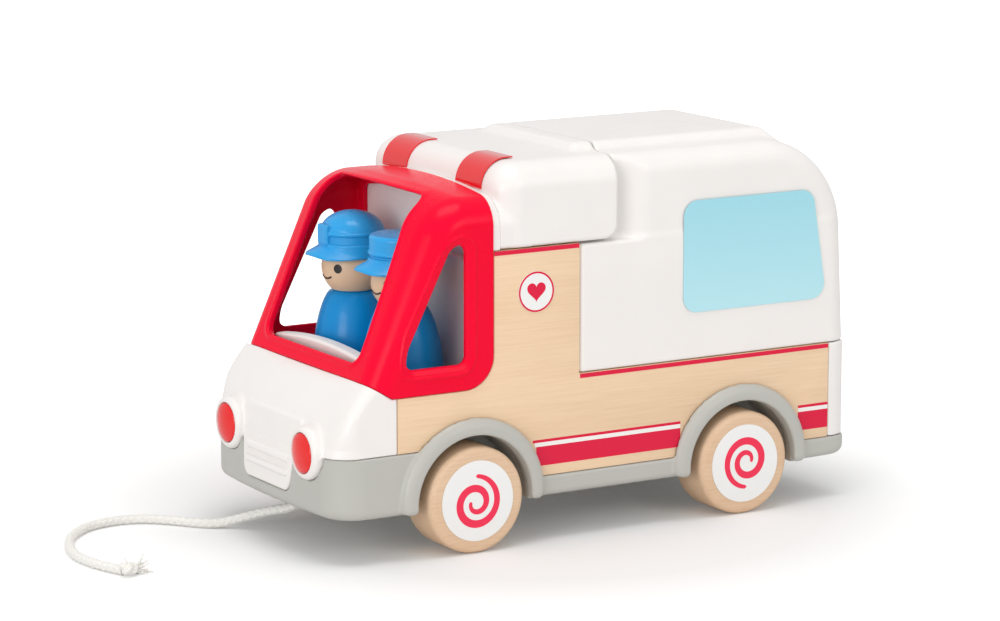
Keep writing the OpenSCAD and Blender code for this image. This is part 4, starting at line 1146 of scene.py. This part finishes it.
def add_wheel(end, side_name, side, x, first_turn):
    body = end + "_wheels"
    name = end + "_" + side_name
    verts, faces = lathe(wheel_profile())
    verts = turned_to(verts, "y" if side > 0 else "-y", (x, side * WHEEL_IN, axle_z))
    make("turned_wheel_" + name, verts, faces, turned_wood, body, "turned_wood", ["wheel_" + name])
    face_y = side * label_high[1]
    verts, faces = spiral_solid(first_turn, face_y + side * INK_GAP, face_y + side * INK_T)
    make("spiral_print_" + name, verts + (x, 0, axle_z), faces, print_coral, body, "red_label")


for side_name, sign in SIDES:
    add_wheel("front", side_name, sign, front_axle_x, 90)
    add_wheel("rear", side_name, sign, rear_axle_x, -90)


# headlight lenses and light strips
LENS_DOME = 1.8
STRIP_GAP = 0.05
STRIP_LIFT = 0.6


def add_lens(side_name, side):
    depth = lens_high[0] - lens_low[0]
    bulge = (LENS_R ** 2 + LENS_DOME ** 2) / (2 * LENS_DOME)
    half = math.degrees(math.asin(LENS_R / bulge))
    profile = [(0, 0), (LENS_R, 0), (LENS_R, depth - LENS_DOME - 0.3)]
    profile += arc(0, depth - bulge, bulge, 90 - half * 0.96, 90, 12)[:-1] + [(0, depth)]
    verts, faces = lathe(profile, 72)
    verts = turned_to(verts, "x", (lens_low[0], side * lens_y, lens_z))
    make("domed_lens_" + side_name, verts, faces, red_lens, "body", "red_lens",
         ["headlight_lens_" + side_name])


def add_light_strip(side_name, side):
    """Strip that follows the front edge of the roof cap."""
    cx = cap_high[0] - CAP_ROUND
    cz = roof_z - CAP_ROUND
    path = [(cap_high[0], strip_low[2])] + arc(cx, cz, CAP_ROUND, 0, 90, 28) + [(strip_low[0], roof_z)]
    out = [(1, 0)] + [((x - cx) / CAP_ROUND, (z - cz) / CAP_ROUND) for x, z in path[1:-1]] + [(0, 1)]
    inner = [(x + STRIP_GAP * n, z + STRIP_GAP * m) for (x, z), (n, m) in zip(path, out)]
    outer = [(x + STRIP_LIFT * n, z + STRIP_LIFT * m) for (x, z), (n, m) in zip(path, out)]
    verts, faces = slab(outer + inner[::-1], side * strip_low[1], side * strip_high[1])
    make("glossy_strip_" + side_name, verts, faces, red_label, "body", "red_label",
         ["light_strip_" + side_name])


for side_name, sign in SIDES:
    add_lens(side_name, sign)
    add_light_strip(side_name, sign)


# heart and ring on the round emblem
EMBLEM_R = (emblem_high[2] - emblem_low[2]) / 2
EMBLEM_X = (emblem_low[0] + emblem_high[0]) / 2
EMBLEM_Z = (emblem_low[2] + emblem_high[2]) / 2
EMBLEM_STEPS = 64
RING_OUT = EMBLEM_R * 0.99
RING_IN = EMBLEM_R * 0.9
HEART_SIZE = EMBLEM_R * 0.52 / 16


def add_emblem(side_name, side):
    y0 = side * (emblem_high[1] + INK_GAP)
    y1 = side * (emblem_high[1] + INK_T)
    t = np.linspace(0, 2 * np.pi, EMBLEM_STEPS, endpoint=False)
    heart_x = 16 * np.sin(t) ** 3
    heart_z = 13 * np.cos(t) - 5 * np.cos(2 * t) - 2 * np.cos(3 * t) - np.cos(4 * t)
    heart = [(EMBLEM_X + HEART_SIZE * a, EMBLEM_Z + HEART_SIZE * (b + 1.5)) for a, b in zip(heart_x, heart_z)]
    parts = [slab(heart, y0, y1)]
    for k in range(EMBLEM_STEPS):
        a = np.radians(360 * k / EMBLEM_STEPS)
        b = np.radians(360 * (k + 1) / EMBLEM_STEPS)
        quad = [(EMBLEM_X + r * math.cos(w), EMBLEM_Z + r * math.sin(w))
                for r, w in ((RING_OUT, a), (RING_OUT, b), (RING_IN, b), (RING_IN, a))]
        parts.append(slab(quad, y0, y1))
    make("emblem_print_" + side_name, *joined(parts), print_red, "body", "red_label")


for side_name, sign in SIDES:
    add_emblem(side_name, sign)


# peg figures
NECK_Z = SEAT_Z + fit_gap + 40
HEAD_R = 13.5
HEAD_SINK = 0.74 * HEAD_R
HEAD_Z = NECK_Z + HEAD_SINK
BRIM_Z = HEAD_Z + 0.36 * HEAD_R
HAT_R = HEAD_R + 1.1
HAT_H = 1.46 * HEAD_R
VISOR_T = 0.8
BODY_R = 18.0
BODY_TOP_R = 9.0
BODY_EDGE = 1.5
EYE_R = 2.0
EYE_TURN = 33.0
EYE_STEPS = 6
PAINT_T = 0.05
PAINT_SINK = 0.4
SMILE_TURN = 17


def body_profile():
    """Half outline of a domed body, with the bore for the seat peg."""
    height = NECK_Z - driver_low[2]
    bore = PEG_R + 0.1
    bore_top = PEG_H + 0.8
    dome = []
    for k in range(1, 40):
        t = 1 - k / 40
        dome.append((BODY_TOP_R + (BODY_R - BODY_TOP_R) * (1 - (1 - t) ** 2) ** 0.6,
                     BODY_EDGE + (height - BODY_EDGE) * (1 - t)))
    return ([(0, bore_top), (bore, bore_top), (bore, 0)]
            + arc(BODY_R - BODY_EDGE, BODY_EDGE, BODY_EDGE, -90, 0, 5) + dome
            + [(BODY_TOP_R, height - 0.4), (BODY_TOP_R - 0.6, height), (0, height)])


def head_profile():
    low = -math.degrees(math.asin((HEAD_SINK - fit_gap) / HEAD_R))
    seat = BRIM_Z - HEAD_Z - 0.1
    high = math.degrees(math.asin(seat / HEAD_R))
    return [(0, fit_gap - HEAD_SINK)] + arc(0, 0, HEAD_R, low, high, 40) + [(0, seat)]


def visor(x, y, z, rise):
    """Visor at the front of a hat, sloping down and curving down to its sides."""
    around = np.hypot(x, y)
    reach = HAT_R * 1.45
    fall = math.degrees(math.atan2(HAT_R * 0.22, HAT_R * 0.5))
    drop = 0.02 * y * y
    top = lean(around, z + drop, HAT_R * 0.95, rise, 90 - fall)
    sheet = np.abs(top + VISOR_T) - VISOR_T
    front = np.hypot(x - reach + HAT_R * 1.02, y) - HAT_R * 1.02
    return meet(both(sheet, HAT_R * 0.7 - around), front, 0.7)


def cap_hat(x, y, z):
    """Cap with a band, a ridge and a flat crown."""
    around = np.hypot(x, y)
    ring = both(around - HAT_R, z - HAT_H * 0.3)
    waist = both(around - HAT_R + 0.9, z - HAT_H * 0.5)
    ridge = np.hypot(around - HAT_R + 0.9, z - HAT_H * 0.4) - 1.0
    crown = both(meet(around - HAT_R + 0.5, z - HAT_H * 0.79, 1.8), HAT_H * 0.4 - z)
    whole = either(ring, waist, ridge, crown)
    return both(unite(whole, visor(x, y, z, HAT_H * 0.28), 0.8), 0.05 - z)


def helmet(x, y, z):
    """Helmet with a band, a waist, a rim and a dome, and a plain plate at the front."""
    around = np.hypot(x, y)
    rim = HAT_H * 0.54
    badge_half = HAT_R * 0.29
    ring = meet(around - HAT_R, z - HAT_H * 0.32, 0.8)
    waist = both(around - HAT_R + 1.1, z - rim)
    lip = np.hypot(around - HAT_R + 0.8, z - rim) - 0.9
    squash = (HAT_R - 0.7) / (HAT_H - rim)
    dome = both((np.hypot(around, (z - rim) * squash) - HAT_R + 0.7) / squash, rim - 1 - z)
    badge = block(x, y, z, (HAT_R * 0.5, -badge_half, HAT_H * 0.28),
                  (HAT_R * 1.04, badge_half, HAT_H * 0.74), 1.0)
    whole = unite(either(ring, waist, dome, lip), visor(x, y, z, HAT_H * 0.3), 0.8)
    return both(unite(whole, badge, 0.5), 0.05 - z)


def on_head(turn, rise, lift):
    """Place on a head, from a turn away from the front and a height over its middle."""
    across = math.sqrt(HEAD_R ** 2 - rise ** 2)
    place = np.array((across * math.cos(turn), across * math.sin(turn), rise))
    return place * (HEAD_R + lift) / HEAD_R


def face_parts():
    """Two round painted eyes and a smile, on the front of a head."""
    parts = []
    outer = HEAD_R + PAINT_T
    inner = HEAD_R - PAINT_SINK
    radii = [EYE_R * k / EYE_STEPS for k in range(EYE_STEPS, 0, -1)]
    rings = [(r, math.sqrt(outer ** 2 - r ** 2)) for r in radii]
    for side in (-1, 1):
        middle = on_head(side * math.radians(EYE_TURN), 0.6, 0.0)
        out = middle / np.linalg.norm(middle)
        across = np.cross((0, 0, 1), out)
        across /= np.linalg.norm(across)
        up = np.cross(out, across)
        verts, faces = lathe([(0, inner), (EYE_R, inner)] + rings + [(0, outer)], 32)
        parts.append((verts[:, :1] * across + verts[:, 1:2] * up + verts[:, 2:] * out, faces))
    smile = [on_head(math.radians(a), -3.3 - 1.1 * math.cos(math.radians(a * 90 / SMILE_TURN)), -0.1)
             for a in np.linspace(-SMILE_TURN, SMILE_TURN, 13)]
    parts.append(braid(smooth_line(smile, 0.5), 0.45, 8, 0.0))
    return parts


def add_figure(name, side, hat_name, hat):
    place = np.array((figure_x, side * figure_y, 0))
    turned_body = lathe(body_profile())
    turned_head = lathe(head_profile())
    face = joined(face_parts())
    for part, (verts, faces), z, finish, slot, replaced in (
            ("_turned_body", turned_body, driver_low[2], body_blue, "blue_plastic", [name + "_body"]),
            ("_turned_head", turned_head, HEAD_Z, skin, "turned_wood", [name + "_head"]),
            ("_face", face, HEAD_Z, ink, "turned_wood", [])):
        make(name + part, verts + place + (0, 0, z), faces, finish, name, slot, replaced)
    low = (-HAT_R - 1, -HAT_R - 1, 0)
    high = (HAT_R * 1.5, HAT_R + 1, HAT_H)
    points, quads, normals = net(hat, low, high, 0.45)
    make(name + "_moulded_hat", points + place + (0, 0, BRIM_Z), quads.tolist(), hat_blue, name, "hat_blue",
         [hat_name], normals)


add_figure("driver", 1, "driver_cap", cap_hat)
add_figure("medic", -1, "medic_helmet", helmet)


# CAD nodes that keep their shape and get a finish
KEPT = {bright_steel: ("front_axle", "rear_axle", "panel_screws", "seat_screws", "tailgate_hinge_pin"),
        window_film: ("window_label_left", "window_label_right"),
        white_film_painted_shade: ("emblem_left", "emblem_right", "wheel_label_front_left", "wheel_label_front_right",
                     "wheel_label_rear_left", "wheel_label_rear_right")}
for finish, names in KEPT.items():
    for node_name in names:
        mesh_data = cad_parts[node_name].data
        mesh_data.materials.clear()
        mesh_data.materials.append(finish)


# floor, world and lamps
FLOOR_HALF = 6.0
FLOOR_CORNERS = ((-FLOOR_HALF, -FLOOR_HALF, 0), (FLOOR_HALF, -FLOOR_HALF, 0),
                 (FLOOR_HALF, FLOOR_HALF, 0), (-FLOOR_HALF, FLOOR_HALF, 0))
GLOW_RANGE = (0.13, 0.36)
GLOW_LOW = 0.05
GLOW_HIGH = 0.7
WORLD_LIGHT = 0.7
WORLD_SEEN = 1.0


def add_floor():
    """Pale floor that glows towards white away from the toy, for the camera alone."""
    mesh = bpy.data.meshes.new("floor")
    mesh.from_pydata(FLOOR_CORNERS, [], [(0, 1, 2, 3)])
    look = Finish("floor")
    away = look.node("VectorMath")
    away.operation = "LENGTH"
    look.feed(away, {0: look.coords})
    glow = look.spread(away.outputs["Value"], GLOW_LOW, GLOW_HIGH, GLOW_RANGE)
    look.feed(look.shader, {
        "Base Color": (0.8, 0.8, 0.795, 1),
        "Roughness": 0.8,
        "Specular IOR Level": 0.1,
        "Emission Color": (1, 1, 1, 1),
        "Emission Strength": look.math("MULTIPLY", look.node("LightPath").outputs["Is Camera Ray"], glow)})
    mesh.materials.append(look.material)
    floor = bpy.data.objects.new("floor", mesh)
    bpy.context.collection.objects.link(floor)


def add_world():
    """White studio, brighter where the camera sees it directly."""
    world = bpy.data.worlds.new("studio")
    bpy.context.scene.world = world
    studio = Wiring(world)
    path = studio.node("LightPath").outputs
    direct = studio.math("MAXIMUM", path["Is Camera Ray"], path["Is Transmission Ray"])
    level = studio.node("MapRange", {"To Min": WORLD_LIGHT, "To Max": WORLD_SEEN, "Value": direct})
    studio.feed(studio.nodes["Background"], {"Color": (1, 1, 1, 1), "Strength": level.outputs["Result"]})


def add_lamp(name, place, target, size, power):
    data = bpy.data.lights.new(name, "AREA")
    data.shape = "RECTANGLE"
    data.size, data.size_y = size
    data.energy = power
    lamp = bpy.data.objects.new(name, data)
    bpy.context.collection.objects.link(lamp)
    lamp.location = place
    lamp.rotation_euler = (Vector(target) - Vector(place)).to_track_quat("-Z", "Y").to_euler()


add_floor()
add_world()
add_lamp("top_softbox", (0.1, 0.2, 1.5), (0, 0, 0.08), (0.8, 0.6), 6.5)
add_lamp("front_softbox", (1.5, 0.75, 0.42), (0.05, 0, 0.1), (0.7, 0.7), 8.0)
add_lamp("side_softbox", (-0.5, 1.6, 0.8), (0, 0, 0.08), (0.8, 0.6), 5.0)
